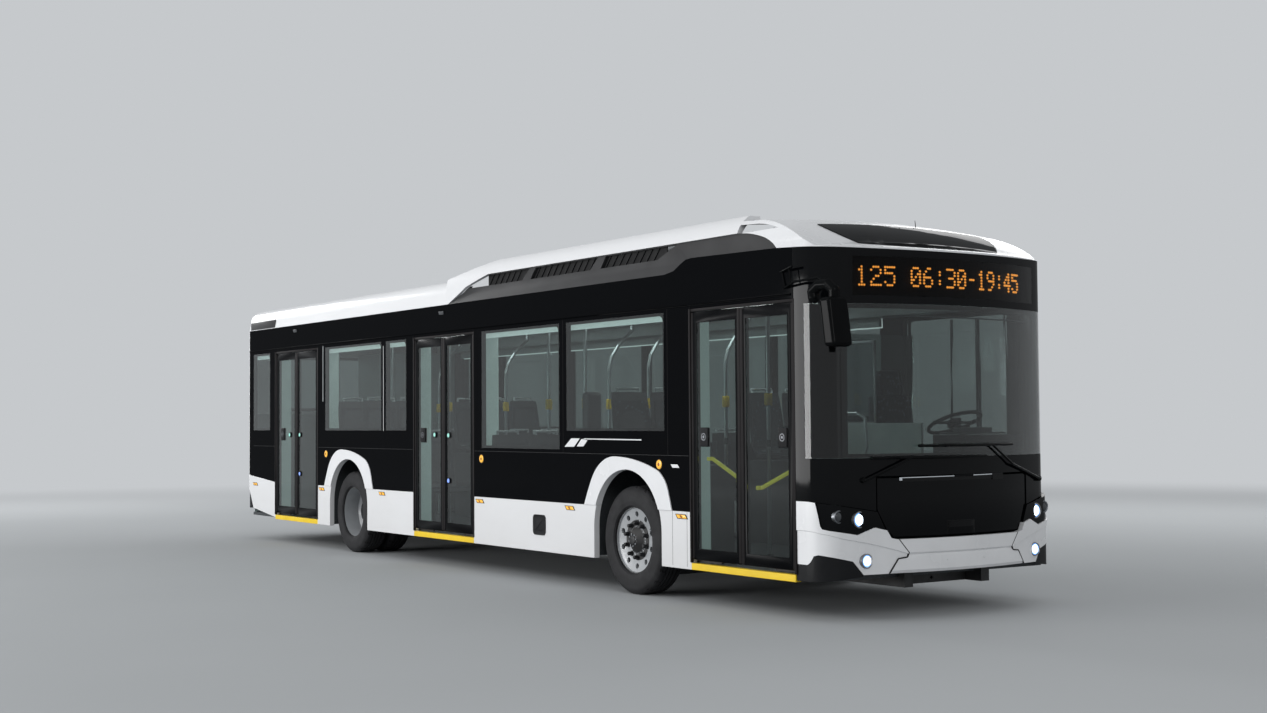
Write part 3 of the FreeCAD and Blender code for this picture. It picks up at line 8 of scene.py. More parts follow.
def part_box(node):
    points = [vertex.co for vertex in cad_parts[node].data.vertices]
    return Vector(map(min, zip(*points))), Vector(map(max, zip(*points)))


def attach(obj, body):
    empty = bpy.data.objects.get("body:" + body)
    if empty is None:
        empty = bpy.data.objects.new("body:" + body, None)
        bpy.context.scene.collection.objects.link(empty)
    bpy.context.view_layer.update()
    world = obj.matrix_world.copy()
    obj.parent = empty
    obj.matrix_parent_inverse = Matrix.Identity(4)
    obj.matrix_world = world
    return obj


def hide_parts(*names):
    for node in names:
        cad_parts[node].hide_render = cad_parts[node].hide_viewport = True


# City bus: black body over white lower panels, white roof edges, three double doors.
# Metres, +X forwards, +Y to the left, +Z up, road at z = 0.

HALF_WIDTH = 1.275
NOSE_FACE = 5.92
NOSE_RADIUS = 2.95
NOSE_CORNER = 0.35
BUMPER_FACE = 5.93
BUMPER_RADIUS = 3.3
BUMPER_CORNER = 0.25
FRONT_AXLE = 3.075
REAR_AXLE = -2.875
AXLE_Z = 0.478
WHEEL_Y = 1.093
TWIN_SPACING = 0.312
TYRE_RADIUS = 0.478
RIM_RADIUS = 0.2955
FLOOR_TOP = 0.345
FRONT_POST = NOSE_FACE - NOSE_RADIUS + math.sqrt(
    (NOSE_RADIUS - NOSE_CORNER) ** 2 - (HALF_WIDTH - NOSE_CORNER) ** 2) - 0.02
REAR_DOOR = (-5.18, -3.8)
MIDDLE_DOOR = (-1.14, 0.23)
FRONT_DOOR = (FRONT_POST - 1.35, FRONT_POST)
LEAF_FACE = -HALF_WIDTH + 0.01
TAIL_FACE = -6.142
WELD = 0.00005

WORLD_LIGHT = 0.54

# Soft lamps: name, place, what it points at, width and height, watts
LAMPS = (
    ("side_low", (-5.5, -22.5, 2.4), (5.6, -0.55, 2.0), (20.4, 4.6), 2700.0),
    ("side_high", (-1.0, -15.0, 9.5), (-1.0, 0.0, 1.2), (12.0, 5.0), 650.0),
    ("front", (19.0, -8.0, 8.5), (4.0, 0.0, 1.4), (6.0, 6.0), 450.0),
    ("far_side", (-2.0, 15.0, 9.0), (0.0, 0.0, 1.2), (12.0, 6.0), 900.0),
    ("rear", (-19.0, -3.0, 7.5), (-5.0, 0.0, 1.4), (5.0, 5.0), 650.0),
)


# Colours and nodes

# Sockets of a Mix node that mixes colours: both inputs, and the output
TONE_A, TONE_B, TONE = 6, 7, 2


def linear(code):
    """sRGB hex colour to linear, with alpha."""
    levels = [int(code[i:i + 2], 16) / 255 for i in (0, 2, 4)]
    return tuple(v / 12.92 if v <= 0.04045 else ((v + 0.055) / 1.055) ** 2.4 for v in levels) + (1.0,)


def add(tree, kind, sockets=None, **settings):
    """Adds one shader node with its settings; a socket takes a value, an output or a node's first output."""
    node = tree.nodes.new("ShaderNode" + kind)
    for name, value in settings.items():
        setattr(node, name, value)
    for name, value in (sockets or {}).items():
        if isinstance(value, bpy.types.Node):
            value = value.outputs[0]
        if isinstance(value, bpy.types.NodeSocket):
            tree.links.new(value, node.inputs[name])
        else:
            node.inputs[name].default_value = value
    return node


def blank(name):
    """Empty material, its nodes, and the place on the object in metres."""
    material = bpy.data.materials.new(name)
    material.use_nodes = True
    tree = material.node_tree
    tree.nodes.clear()
    return material, tree, add(tree, "TexCoord").outputs["Object"]


def vehicle_enamel(name, code, film_code, specular, coat):
    """Sprayed two-coat enamel: an even colour, a soft orange peel, and road film that thickens low down."""
    material, tree, where = blank(name)
    streaks = add(tree, "Mapping", {"Vector": where, "Scale": (0.4, 1.0, 1.0)})
    film = add(tree, "TexNoise", {"Vector": streaks, "Scale": 2.6, "Detail": 4.0, "Roughness": 0.6})
    height = add(tree, "SeparateXYZ", {"Vector": where})
    low = add(tree, "MapRange", {"Value": height.outputs["Z"], "From Min": 1.1, "From Max": 0.28,
                                 "To Min": 0.06, "To Max": 0.6})
    amount = add(tree, "Math", {0: low, 1: film}, operation="MULTIPLY")
    colour = add(tree, "Mix", {"Factor": amount, TONE_A: linear(code), TONE_B: linear(film_code)},
                 data_type="RGBA")
    gloss = add(tree, "MapRange", {"Value": film, "From Min": 0.3, "From Max": 0.7,
                                   "To Min": 0.11, "To Max": 0.2})
    # Orange peel of 20 mm cells, four times the real ones, which would not show
    peel = add(tree, "TexNoise", {"Vector": where, "Scale": 50.0, "Detail": 2.0})
    relief = add(tree, "Bump", {"Height": peel, "Distance": 0.0004, "Strength": 0.35})
    shader = add(tree, "BsdfPrincipled", {
        "Base Color": colour.outputs[TONE], "Roughness": gloss, "Specular IOR Level": specular,
        "Coat Weight": coat, "Coat Roughness": 0.05, "Normal": relief})
    add(tree, "OutputMaterial", {"Surface": shader})
    return material


def moulding(name, code, worn_code, roughness, grain_mm, depth_mm, specular=0.4, coat=0.0):
    """Injection moulded plastic: an eroded grain breaks its shine, with paler handled patches."""
    material, tree, where = blank(name)
    patches = add(tree, "TexNoise", {"Vector": where, "Scale": 3.0, "Detail": 3.0})
    worn = add(tree, "MapRange", {"Value": patches, "From Min": 0.35, "From Max": 0.7})
    colour = add(tree, "Mix", {"Factor": worn, TONE_A: linear(code), TONE_B: linear(worn_code)},
                 data_type="RGBA")
    gloss = add(tree, "MapRange", {"Value": patches, "From Min": 0.3, "From Max": 0.7,
                                   "To Min": roughness - 0.04, "To Max": roughness + 0.06})
    grain = add(tree, "TexNoise", {"Vector": where, "Scale": 1000.0 / grain_mm, "Detail": 2.0})
    relief = add(tree, "Bump", {"Height": grain, "Distance": depth_mm / 1000.0, "Strength": 0.6})
    shader = add(tree, "BsdfPrincipled", {
        "Base Color": colour.outputs[TONE], "Roughness": gloss, "Specular IOR Level": specular,
        "Coat Weight": coat, "Coat Roughness": 0.04, "Normal": relief})
    add(tree, "OutputMaterial", {"Surface": shader})
    return material


def glass(name, code, specular=0.5, bending=1.45):
    """Float glass tinted in the mass: a clear reflection over a darker view; light passes through tinted."""
    material, tree, _ = blank(name)
    pane = add(tree, "BsdfPrincipled", {
        "Base Color": linear(code), "Roughness": 0.0, "IOR": bending, "Transmission Weight": 1.0,
        "Specular IOR Level": specular})
    through = add(tree, "BsdfTransparent", {"Color": linear(code)})
    ray = add(tree, "LightPath")
    mix = add(tree, "MixShader", {0: ray.outputs["Is Shadow Ray"], 1: pane, 2: through})
    add(tree, "OutputMaterial", {"Surface": mix})
    return material


def lamp_glow(name, code, strength, base, rib_mm=6.0):
    """Moulded acrylic lens over a lamp: fine ribs across it and its own light from inside. The door post
    covers and the yellow grab bars use it too, for a painted glow with no lamp in them.
    """
    material, tree, where = blank(name)
    # At scale 160 a rib and its groove are about 1 mm wide each
    ribs = add(tree, "TexWave", {"Vector": where, "Scale": 160.0 / rib_mm, "Distortion": 0.0},
               bands_direction="Z")
    relief = add(tree, "Bump", {"Height": ribs.outputs["Fac"], "Distance": 0.0006, "Strength": 0.4})
    shader = add(tree, "BsdfPrincipled", {
        "Base Color": linear(base), "Roughness": 0.18, "Emission Color": linear(code),
        "Emission Strength": strength, "Normal": relief})
    add(tree, "OutputMaterial", {"Surface": shader})
    return material


def worked_metal(name, code, dark_code, roughness, stretch, mark_mm, depth_mm):
    """Drawn, turned or cast metal: parallel marks of the tool pull its highlight out along one way."""
    material, tree, where = blank(name)
    along = add(tree, "Mapping", {"Vector": where, "Scale": stretch})
    marks = add(tree, "TexNoise", {"Vector": along, "Scale": 1000.0 / mark_mm, "Detail": 4.0,
                                   "Roughness": 0.6})
    colour = add(tree, "Mix", {"Factor": marks, TONE_A: linear(code), TONE_B: linear(dark_code)},
                 data_type="RGBA")
    gloss = add(tree, "MapRange", {"Value": marks, "From Min": 0.3, "From Max": 0.7,
                                   "To Min": roughness, "To Max": roughness + 0.12})
    relief = add(tree, "Bump", {"Height": marks, "Distance": depth_mm / 1000.0, "Strength": 0.4})
    shader = add(tree, "BsdfPrincipled", {
        "Base Color": colour.outputs[TONE], "Metallic": 1.0, "Roughness": gloss, "Normal": relief})
    add(tree, "OutputMaterial", {"Surface": shader})
    return material


def chassis_paint():
    """Satin chassis paint on folded and cast steel: near black, dulled by dust on its upper faces."""
    material, tree, where = blank("chassis_paint_on_steel")
    dust = add(tree, "TexNoise", {"Vector": where, "Scale": 14.0, "Detail": 5.0, "Roughness": 0.65})
    facing = add(tree, "NewGeometry")
    up = add(tree, "SeparateXYZ", {"Vector": facing.outputs["Normal"]})
    lying = add(tree, "MapRange", {"Value": up.outputs["Z"], "From Min": 0.2, "From Max": 1.0,
                                   "To Min": 0.25, "To Max": 1.0})
    amount = add(tree, "Math", {0: dust, 1: lying}, operation="MULTIPLY")
    colour = add(tree, "Mix", {"Factor": amount, TONE_A: linear("141517"), TONE_B: linear("4A4845")},
                 data_type="RGBA")
    # Cast skin with pits about 4 mm across
    skin = add(tree, "TexNoise", {"Vector": where, "Scale": 250.0, "Detail": 3.0})
    relief = add(tree, "Bump", {"Height": skin, "Distance": 0.0006, "Strength": 0.5})
    gloss = add(tree, "MapRange", {"Value": dust, "From Min": 0.3, "From Max": 0.7,
                                   "To Min": 0.42, "To Max": 0.7})
    shader = add(tree, "BsdfPrincipled", {
        "Base Color": colour.outputs[TONE], "Roughness": gloss, "Normal": relief})
    add(tree, "OutputMaterial", {"Surface": shader})
    return material


def tyre_rubber():
    """Filled rubber: hardly shiny, charcoal, greyed by dust in patches, with a fine moulded skin."""
    material, tree, where = blank("tyre_rubber")
    dust = add(tree, "TexNoise", {"Vector": where, "Scale": 9.0, "Detail": 5.0, "Roughness": 0.6})
    amount = add(tree, "MapRange", {"Value": dust, "From Min": 0.3, "From Max": 0.7})
    colour = add(tree, "Mix", {"Factor": amount, TONE_A: linear("151517"), TONE_B: linear("262628")},
                 data_type="RGBA")
    skin = add(tree, "TexNoise", {"Vector": where, "Scale": 500.0, "Detail": 2.0})
    relief = add(tree, "Bump", {"Height": skin, "Distance": 0.0004, "Strength": 0.5})
    shader = add(tree, "BsdfPrincipled", {
        "Base Color": colour.outputs[TONE], "Roughness": 0.7, "Specular IOR Level": 0.3, "Normal": relief})
    add(tree, "OutputMaterial", {"Surface": shader})
    return material


def moquette():
    """Woven moquette, short cut pile: charcoal with blue-grey squares every 45 mm and a soft edge light."""
    material, tree, where = blank("seat_moquette")
    squares = add(tree, "TexVoronoi", {"Vector": where, "Scale": 22.0}, feature="F1", distance="CHEBYCHEV")
    spot = add(tree, "MapRange", {"Value": squares.outputs["Distance"], "From Min": 0.16,
                                  "From Max": 0.2, "To Min": 1.0, "To Max": 0.0})
    colour = add(tree, "Mix", {"Factor": spot, TONE_A: linear("262B31"), TONE_B: linear("52606E")},
                 data_type="RGBA")
    # Pile rows 1.5 mm apart
    pile = add(tree, "TexNoise", {"Vector": where, "Scale": 660.0, "Detail": 2.0})
    relief = add(tree, "Bump", {"Height": pile, "Distance": 0.0012, "Strength": 0.8})
    shader = add(tree, "BsdfPrincipled", {
        "Base Color": colour.outputs[TONE], "Roughness": 0.95, "Sheen Weight": 0.4, "Sheen Roughness": 0.4,
        "Specular IOR Level": 0.2, "Normal": relief})
    add(tree, "OutputMaterial", {"Surface": shader})
    return material


def safety_vinyl():
    """Calendered safety vinyl: dark grey with pale quartz grains, four times as far apart as real, to show."""
    material, tree, where = blank("safety_vinyl")
    grains = add(tree, "TexVoronoi", {"Vector": where, "Scale": 80.0})
    grain = add(tree, "MapRange", {"Value": grains.outputs["Distance"], "From Min": 0.08,
                                   "From Max": 0.16, "To Min": 1.0, "To Max": 0.0})
    colour = add(tree, "Mix", {"Factor": grain, TONE_A: linear("35393C"), TONE_B: linear("8A8F92")},
                 data_type="RGBA")
    relief = add(tree, "Bump", {"Height": grains.outputs["Distance"], "Distance": 0.0004, "Strength": 0.4})
    shader = add(tree, "BsdfPrincipled", {
        "Base Color": colour.outputs[TONE], "Roughness": 0.6, "Normal": relief})
    add(tree, "OutputMaterial", {"Surface": shader})
    return material


MATERIALS = {}


def make_materials():
    """Every finish of the bus, under the name that its pieces ask for."""
    MATERIALS.update(
        black_enamel=vehicle_enamel("black_vehicle_enamel", "090A0C", "16171A", 0.0, 0.06),
        white_enamel=vehicle_enamel("white_vehicle_enamel", "E0E1E3", "C3C2C0", 0.35, 0.1),
        white_moulding=moulding("white_painted_moulding", "E3E4E6", "DCDDDF", 0.24, 20.0, 0.05, 0.4),
        black_moulding=moulding("black_grained_polypropylene", "121315", "1B1C1E", 0.5, 1.4, 0.12, 0.12),
        fairing_grey=moulding("satin_grey_roof_fairing", "333334", "3B3B3C", 0.36, 20.0, 0.04, 0.12),
        wiper_black=moulding("black_wiper_enamel", "070809", "0C0D0E", 0.3, 3.0, 0.03, 0.08),
        grey_moulding=moulding("grey_grained_polypropylene", "404245", "4A4C4F", 0.42, 1.4, 0.1, 0.35),
        mirror_black=moulding("satin_black_mirror_housing", "0B0C0D", "101112", 0.26, 8.0, 0.02, 0.0, 0.08),
        gloss_black=moulding("black_painted_moulding", "060709", "08090B", 0.12, 60.0, 0.02, 0.0, 0.24),
        print_black=moulding("ceramic_print_on_glass", "07080A", "0A0B0D", 0.2, 30.0, 0.01, 0.04),
        roof_panel=moulding("grey_roof_laminate", "A9ADB0", "9A9EA1", 0.45, 6.0, 0.1),
        roof_black=moulding("black_roof_laminate", "1C1D1F", "2A2B2D", 0.5, 6.0, 0.1, 0.3),
        lining=moulding("pale_grey_wall_laminate", "8E999A", "85908F", 0.42, 2.0, 0.05),
        cab_panel=moulding("white_cab_door_laminate", "C4CCCB", "B8C1C0", 0.4, 2.0, 0.05),
        # The door post covers glow faintly though no lamp is in them: painted light.
        post_cover=lamp_glow("door_post_cover_painted_glow", "C8DEDA", 0.5, "C9D8D5", 60.0),
        seat_shell=moulding("charcoal_seat_shell", "2B2E33", "363A40", 0.4, 1.2, 0.08),
        handle_grey=moulding("grey_seat_handle", "C3C8CA", "CDD2D4", 0.35, 1.2, 0.05),
        rubber=moulding("door_seal_rubber", "1B191A", "252324", 0.62, 2.2, 0.1, 0.1),
        yellow=moulding("yellow_grained_abs", "EFCB1A", "E2BE14", 0.38, 2.0, 0.08),
        # The grab bars' yellow paint glows a little though no lamp is in them: painted light.
        bar_yellow=lamp_glow("yellow_powder_coat_painted_glow", "E2DC4A", 0.55, "EDE24A", 40.0),
        nut_cap=moulding("black_nut_cap_nylon", "101113", "1A1B1D", 0.4, 1.5, 0.05),
        side_glass=glass("side_window_glass", "949F9D", 0.3),
        door_glass=glass("door_glass", "8B9795", 0.22),
        screen_glass=glass("windscreen_laminated_glass", "98A09F", 0.22),
        display_glass=glass("smoked_display_glass", "4A4B4D", 0.0, 1.18),
        lamp_cover=glass("clear_polycarbonate", "E6EAEE"),
        amber_lens=lamp_glow("amber_lens", "FFC347", 0.25, "F2B23A"),
        amber_centre=lamp_glow("dark_amber_lens", "8A4A16", 0.1, "8F5420"),
        red_lens=lamp_glow("red_lens", "B00A0A", 0.25, "A00C0C"),
        smoked_lens=lamp_glow("smoked_lens", "000000", 0.0, "3A3D41"),
        lamp_light=lamp_glow("headlamp_led_light", "D9ECFF", 3.0, "FFFFFF"),
        led_amber=lamp_glow("destination_led", "FFA544", 11.0, "3A2408"),
        led_off=moulding("destination_board", "0A0A0B", "0D0D0E", 0.6, 6.0, 0.05, 0.2),
        lamp_blue=lamp_glow("blue_lamp_ring", "6FA8FF", 1.4, "8FB8FF"),
        clear_lens=lamp_glow("clear_rear_lens", "FFFFFF", 0.0, "C9CDD2"),
        dash_glow=lamp_glow("dash_display", "7FA0B0", 0.6, "203038"),
        strip_light=lamp_glow("window_cornice_light", "DCEBE9", 1.1, "E8F4F2", 12.0),
        ceiling_lamp=lamp_glow("ceiling_lamp", "F2F8F6", 9.0, "E8EEEC", 40.0),
        button_green=lamp_glow("green_button", "A8E8DC", 0.45, "7FB8AC"),
        button_blue=lamp_glow("blue_button", "8FAEFF", 0.6, "6C8CE0"),
        rim_metal=moulding("silver_wheel_enamel", "A6A9AC", "8C8F92", 0.32, 2.5, 0.04, 0.7, 0.15),
        chrome=worked_metal("chromed_reflector", "D8DCE0", "C8CCD0", 0.06, (1.0, 1.0, 1.0), 25.0, 0.02),
        pole_metal=worked_metal("brushed_stainless_tube", "B9BFC1", "A3A9AC", 0.28, (1.0, 1.0, 0.05), 3.3,
                                0.03),
        mirror_metal=worked_metal("mirror_silvering", "D5DADF", "D0D6DB", 0.02, (1.0, 1.0, 1.0), 100.0, 0.0),
        grey_metal=worked_metal("turned_steel", "8E9195", "74777B", 0.32, (1.0, 1.0, 1.0), 6.0, 0.05),
        bare_aluminium=worked_metal("extruded_aluminium", "A7ABAE", "8C9093", 0.34, (0.05, 1.0, 1.0), 8.0,
                                    0.03),
        iron=chassis_paint(),
        tyre=tyre_rubber(),
        moquette=moquette(),
        vinyl=safety_vinyl(),
    )


# Mesh helpers

def block(bm, low, high):
    """Closed box between two corners."""
    centre = [(a + b) / 2 for a, b in zip(low, high)]
    size = [abs(b - a) for a, b in zip(low, high)]
    matrix = Matrix.Translation(centre) @ Matrix.Diagonal((*size, 1.0))
    return bmesh.ops.create_cube(bm, size=1.0, matrix=matrix)["verts"]


def tube(bm, start, end, radius, segments=16, end_radius=None):
    """Closed straight rod or cone."""
    axis = Vector(end) - Vector(start)
    turn = axis.to_track_quat("Z", "Y").to_matrix().to_4x4()
    middle = Matrix.Translation((Vector(start) + Vector(end)) / 2)
    if end_radius is None:
        end_radius = radius
    bmesh.ops.create_cone(bm, cap_ends=True, segments=segments, radius1=radius, radius2=end_radius,
                          depth=axis.length, matrix=middle @ turn)


def bevelled(bm, geom, width, segments, affect="EDGES"):
    """Rounds the given edges or corners."""
    bmesh.ops.bevel(bm, geom=geom, offset=width, offset_type="OFFSET", segments=segments, profile=0.5,
                    affect=affect, clamp_overlap=True, material=-1)


def round_edges(bm, width, segments=2):
    """Rounds every edge sharper than 30 degrees."""
    sharp = [e for e in bm.edges if len(e.link_faces) == 2 and e.calc_face_angle(0.0) > math.radians(30)]
    bevelled(bm, sharp, width, segments)


def bar(bm, points, radius, segments=12):
    """Tube through several points, with a ball at each bend."""
    for a, b in zip(points, points[1:]):
        tube(bm, a, b, radius, segments)
    for p in points[1:-1]:
        bmesh.ops.create_uvsphere(bm, u_segments=segments, v_segments=8, radius=radius,
                                  matrix=Matrix.Translation(p))


def join(bm, part, matrix=None):
    """Adds a finished bmesh to another, moved by a matrix, and frees it."""
    if matrix is not None:
        bmesh.ops.transform(part, matrix=matrix, verts=part.verts)
    carrier = bpy.data.meshes.new("carrier")
    part.to_mesh(carrier)
    part.free()
    bm.from_mesh(carrier)
    bpy.data.meshes.remove(carrier)


def thicken(bm, faces, push):
    """Gives flat faces their thickness along a vector."""
    grown = bmesh.ops.extrude_face_region(bm, geom=faces)["geom"]
    bmesh.ops.translate(bm, verts=[v for v in grown if isinstance(v, bmesh.types.BMVert)], vec=push)


def outline_plate(bm, points, push):
    """Flat plate from its outline, thickened along a vector."""
    thicken(bm, [bm.faces.new([bm.verts.new(p) for p in points])], push)


def turned(bm, profile, centre, axis, steps):
    """Closed ring or disc: a profile of (along the axis, radius) spun a full turn about the axis."""
    axis = Vector(axis)
    across = Vector((1, 0, 0) if axis.z else (0, 0, 1))
    verts = [bm.verts.new(Vector(centre) + axis * a + across * r) for a, r in profile]
    edges = [bm.edges.new(pair) for pair in zip(verts, verts[1:] + verts[:1])]
    bmesh.ops.spin(bm, geom=verts + edges, cent=centre, axis=axis, angle=math.tau, steps=steps,
                   use_merge=True)


def finished(name, bm, material, body="root", smooth=32.0):
    """Makes the piece's object, shades it and lets it ride on a CAD body."""
    bmesh.ops.recalc_face_normals(bm, faces=bm.faces)
    mesh = bpy.data.meshes.new(name)
    bm.to_mesh(mesh)
    bm.free()
    mesh.polygons.foreach_set("use_smooth", [True] * len(mesh.polygons))
    mesh.set_sharp_from_angle(angle=math.radians(smooth))
    mesh.materials.append(MATERIALS[material])
    made = bpy.data.objects.new(name, mesh)
    bpy.context.scene.collection.objects.link(made)
    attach(made, body)
    return made


def boxes(name, material, corners, width=0.0, segments=2, body="root"):
    """Piece made of plain boxes between pairs of corners, its edges rounded by a width."""
    bm = bmesh.new()
    for low, high in corners:
        block(bm, low, high)
    if width:
        round_edges(bm, width, segments)
    finished(name, bm, material, body)


def merged(node, whole=True):
    """Copy of a carried-over CAD mesh, its loose triangles joined and its flat faces made whole."""
    bm = bmesh.new()
    bm.from_mesh(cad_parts[node].data)
    bmesh.ops.remove_doubles(bm, verts=bm.verts, dist=WELD)
    if whole:
        bmesh.ops.dissolve_limit(bm, angle_limit=math.radians(0.6), use_dissolve_boundaries=False,
                                 verts=bm.verts, edges=bm.edges)
    return bm


def softened(node, material, width, body="root"):
    """A CAD panel with its cut edges rounded to catch the light, as pressed and moulded panels do."""
    bm = merged(node)
    round_edges(bm, width)
    piece = finished(node + "_dressed", bm, material, body, 40.0)
    piece.modifiers.new("even shading", "WEIGHTED_NORMAL").keep_sharp = True
    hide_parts(node)
    return piece


def painted(node, material):
    """Gives a carried-over CAD node its finish."""
    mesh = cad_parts[node].data
    mesh.materials.clear()
    mesh.materials.append(MATERIALS[material])


def front_x(y, face, radius, corner, inset=0.0):
    """Outer face of a rounded front at a distance from the middle: a long arc, then the corner's arc."""
    y = abs(y)
    centre = face - radius
    corner_y = HALF_WIDTH - corner
    if y <= corner_y * (radius - inset) / (radius - corner):
        return centre + math.sqrt((radius - inset) ** 2 - y ** 2)
    corner_x = centre + math.sqrt((radius - corner) ** 2 - corner_y ** 2)
    return corner_x + math.sqrt(max((corner - inset) ** 2 - (y - corner_y) ** 2, 0.0))


def nose_x(y, inset=0.0):
    """Outer face of the mask and glass."""
    return front_x(y, NOSE_FACE, NOSE_RADIUS, NOSE_CORNER, inset)


def bumper_x(y):
    """Outer face of the bumper."""
    return front_x(y, BUMPER_FACE, BUMPER_RADIUS, BUMPER_CORNER)


def flap_x(y):
    """Outer face of the service flap, 8 mm behind the mask."""
    return nose_x(y, 0.008)


# Body shell

def body_shell():
    """Pressed, folded and moulded panels of the body with softened edges."""
    for node, material, width in (
            ("side_wall_right", "black_enamel", 0.003),
            ("side_wall_left", "black_enamel", 0.003),
            ("cantrails", "black_enamel", 0.004),
            ("skirt_panels", "white_enamel", 0.004),
            ("arch_trims", "white_moulding", 0.004),
            ("door_sills", "yellow", 0.003),
            ("roof_coves", "white_enamel", 0.005),
            ("roof_fairings", "fairing_grey", 0.004),
            ("front_cap", "white_moulding", 0.004),
            ("cap_inset", "gloss_black", 0.003),
            ("roof_units", "roof_panel", 0.006),
            ("front_mask", "gloss_black", 0.004),
            ("bumper_middle", "white_moulding", 0.006),
            ("bumper_corners", "white_moulding", 0.006),
            ("bumper_inlets", "black_moulding", 0.005),
            ("rear_wall", "white_enamel", 0.004),
            ("rear_bumper", "black_moulding", 0.006),
            ("dashboard", "black_moulding", 0.012)):
        softened(node, material, width)
    softened("front_flap", "gloss_black", 0.004, "front_flap")
    softened("engine_hatch", "black_enamel", 0.003, "engine_hatch")
    softened("lamps", "gloss_black", 0.001)
    # The outer 20 mm of the tail is drawn in to 12 mm, so lamps and plate stay inside the body's length
    start, share = -6.13, 0.6
    for node in ("rear_wall", "rear_bumper", "lamps", "engine_hatch"):
        for v in bpy.data.objects[node + "_dressed"].data.vertices:
            if v.co.x < start:
                v.co.x = start + (v.co.x - start) * share
    for material, nodes in (
            ("vinyl", "floor_deck"), ("roof_black", "roof_deck"), ("lining", "ceiling_lining engine_tower"),
            ("side_glass", "side_windows"), ("black_moulding", "steering_wheel"), ("mirror_black", "mirrors"),
            ("wiper_black", "wipers"),
            ("iron", "engine_block chassis_frame front_axle rear_axle knuckle_right knuckle_left")):
        for node in nodes.split():
            painted(node, material)


# Panes of both sides: rear end, front end, lower edge, upper edge
RIGHT_WINDOWS = ((-5.955, -5.37, 1.445, 2.46), (-3.56, -1.97, 1.445, 2.46), (-1.85, -1.33, 1.445, 2.46),
                 (0.41, 1.93, 1.27, 2.46), (2.06, 3.65, 1.445, 2.46))
LEFT_WINDOWS = ((-4.6, -3.68, 1.445, 2.46), (-3.56, -1.97, 1.445, 2.46), (-1.85, -0.33, 1.27, 2.46),
                (-0.21, 1.93, 1.27, 2.46), (2.06, 3.65, 1.445, 2.46), (3.98, 5.23, 1.18, 2.46))


def framed_ring(bm, x0, x1, z0, z1, border, corner, y, depth):
    """Flat frame round an opening, its inner corners rounded."""
    part = bmesh.new()
    inside = [(x0 + border, z0 + border), (x1 - border, z0 + border), (x1 - border, z1 - border),
              (x0 + border, z1 - border)]
    opening = part.faces.new([part.verts.new((x, y, z)) for x, z in inside])
    bevelled(part, list(opening.verts), corner, 6, "VERTICES")
    bmesh.ops.delete(part, geom=list(part.faces), context="FACES_ONLY")
    loops = list(part.edges)
    rim = [part.verts.new((x, y, z)) for x, z in ((x0, z0), (x1, z0), (x1, z1), (x0, z1))]
    loops += [part.edges.new(pair) for pair in zip(rim, rim[1:] + rim[:1])]
    bmesh.ops.bridge_loops(part, edges=loops)
    thicken(part, list(part.faces), (0, depth, 0))
    join(bm, part)


def window_borders():
    """Black ceramic print round every pane, just inside the glass, and the bright joints between panes."""
    bm = bmesh.new()
    for side, windows in ((-1, RIGHT_WINDOWS), (1, LEFT_WINDOWS)):
        for x0, x1, z0, z1 in windows:
            framed_ring(bm, x0, x1, z0, z1, 0.026, 0.045, side * (HALF_WIDTH - 0.0135), -side * 0.002)
    finished("window_borders", bm, "print_black")
    bm = bmesh.new()
    for side in (-1, 1):
        y0, y1 = side * (HALF_WIDTH - 0.004), side * (HALF_WIDTH + 0.0012)
        for x, z0, z1 in ((-3.633, 1.8, 2.48), (-1.915, 1.44, 2.41)):
            block(bm, (x - 0.005, y0, z0), (x + 0.005, y1, z1))
    finished("window_joint_strips", bm, "handle_grey")


def tail_trims():
    """Dark grey end pieces under the rear ends of the white roof edges."""
    boxes("tail_trims", "fairing_grey",
          [((-6.06, side * (HALF_WIDTH - 0.03), 2.79), (-5.2, side * (HALF_WIDTH + 0.002), 2.893))
           for side in (-1, 1)], 0.006, 3)


def drip_rails():
    """Folded rail that throws rain clear of the windows and doors, and the thin belt line lower down."""
    rails, lines = [], []
    for side, spans in ((-1, ((-5.95, -5.21), (-3.77, -1.17), (0.26, 4.0))), (1, ((-4.6, 5.3),))):
        lip = side * (HALF_WIDTH + 0.006)
        rails += [((-6.1, side * (HALF_WIDTH - 0.004), 2.496), (5.36, lip, 2.504)),
                  ((-6.1, side * (HALF_WIDTH + 0.002), 2.492), (5.36, lip, 2.512))]
        lines += [((x0, side * (HALF_WIDTH - 0.002), 1.2355), (x1, side * (HALF_WIDTH + 0.0012), 1.2385))
                  for x0, x1 in spans]
    boxes("drip_rails", "black_enamel", rails, 0.0015)
    boxes("belt_lines", "fairing_grey", lines)


def side_stripe():
    """Two slanted white blocks and a thin line on the black band, and a small block by the front door."""
    y = -HALF_WIDTH + 0.0003
    bm = bmesh.new()
    for points, depth in (
            (((2.02, 1.296), (2.14, 1.375), (2.288, 1.375), (2.19, 1.298)), 0.0009),
            (((2.236, 1.301), (2.318, 1.37), (2.42, 1.358), (2.351, 1.302)), 0.0009),
            (((2.352, 1.367), (2.362, 1.3755), (3.3, 1.372), (3.3, 1.362)), 0.0009),
            (((3.74, 1.162), (3.765, 1.134), (3.865, 1.134), (3.84, 1.162)), 0.0012)):
        outline_plate(bm, [(x, y, z) for x, z in points], (0, -depth, 0))
    finished("side_stripe", bm, "white_moulding")


# Middles of the marker lamps along both sides
STRIP_MARKERS = (3.894, 2.11, 0.366, -1.955, -3.665, -5.886)
ROUND_MARKERS = (3.571, 0.405, -3.532)


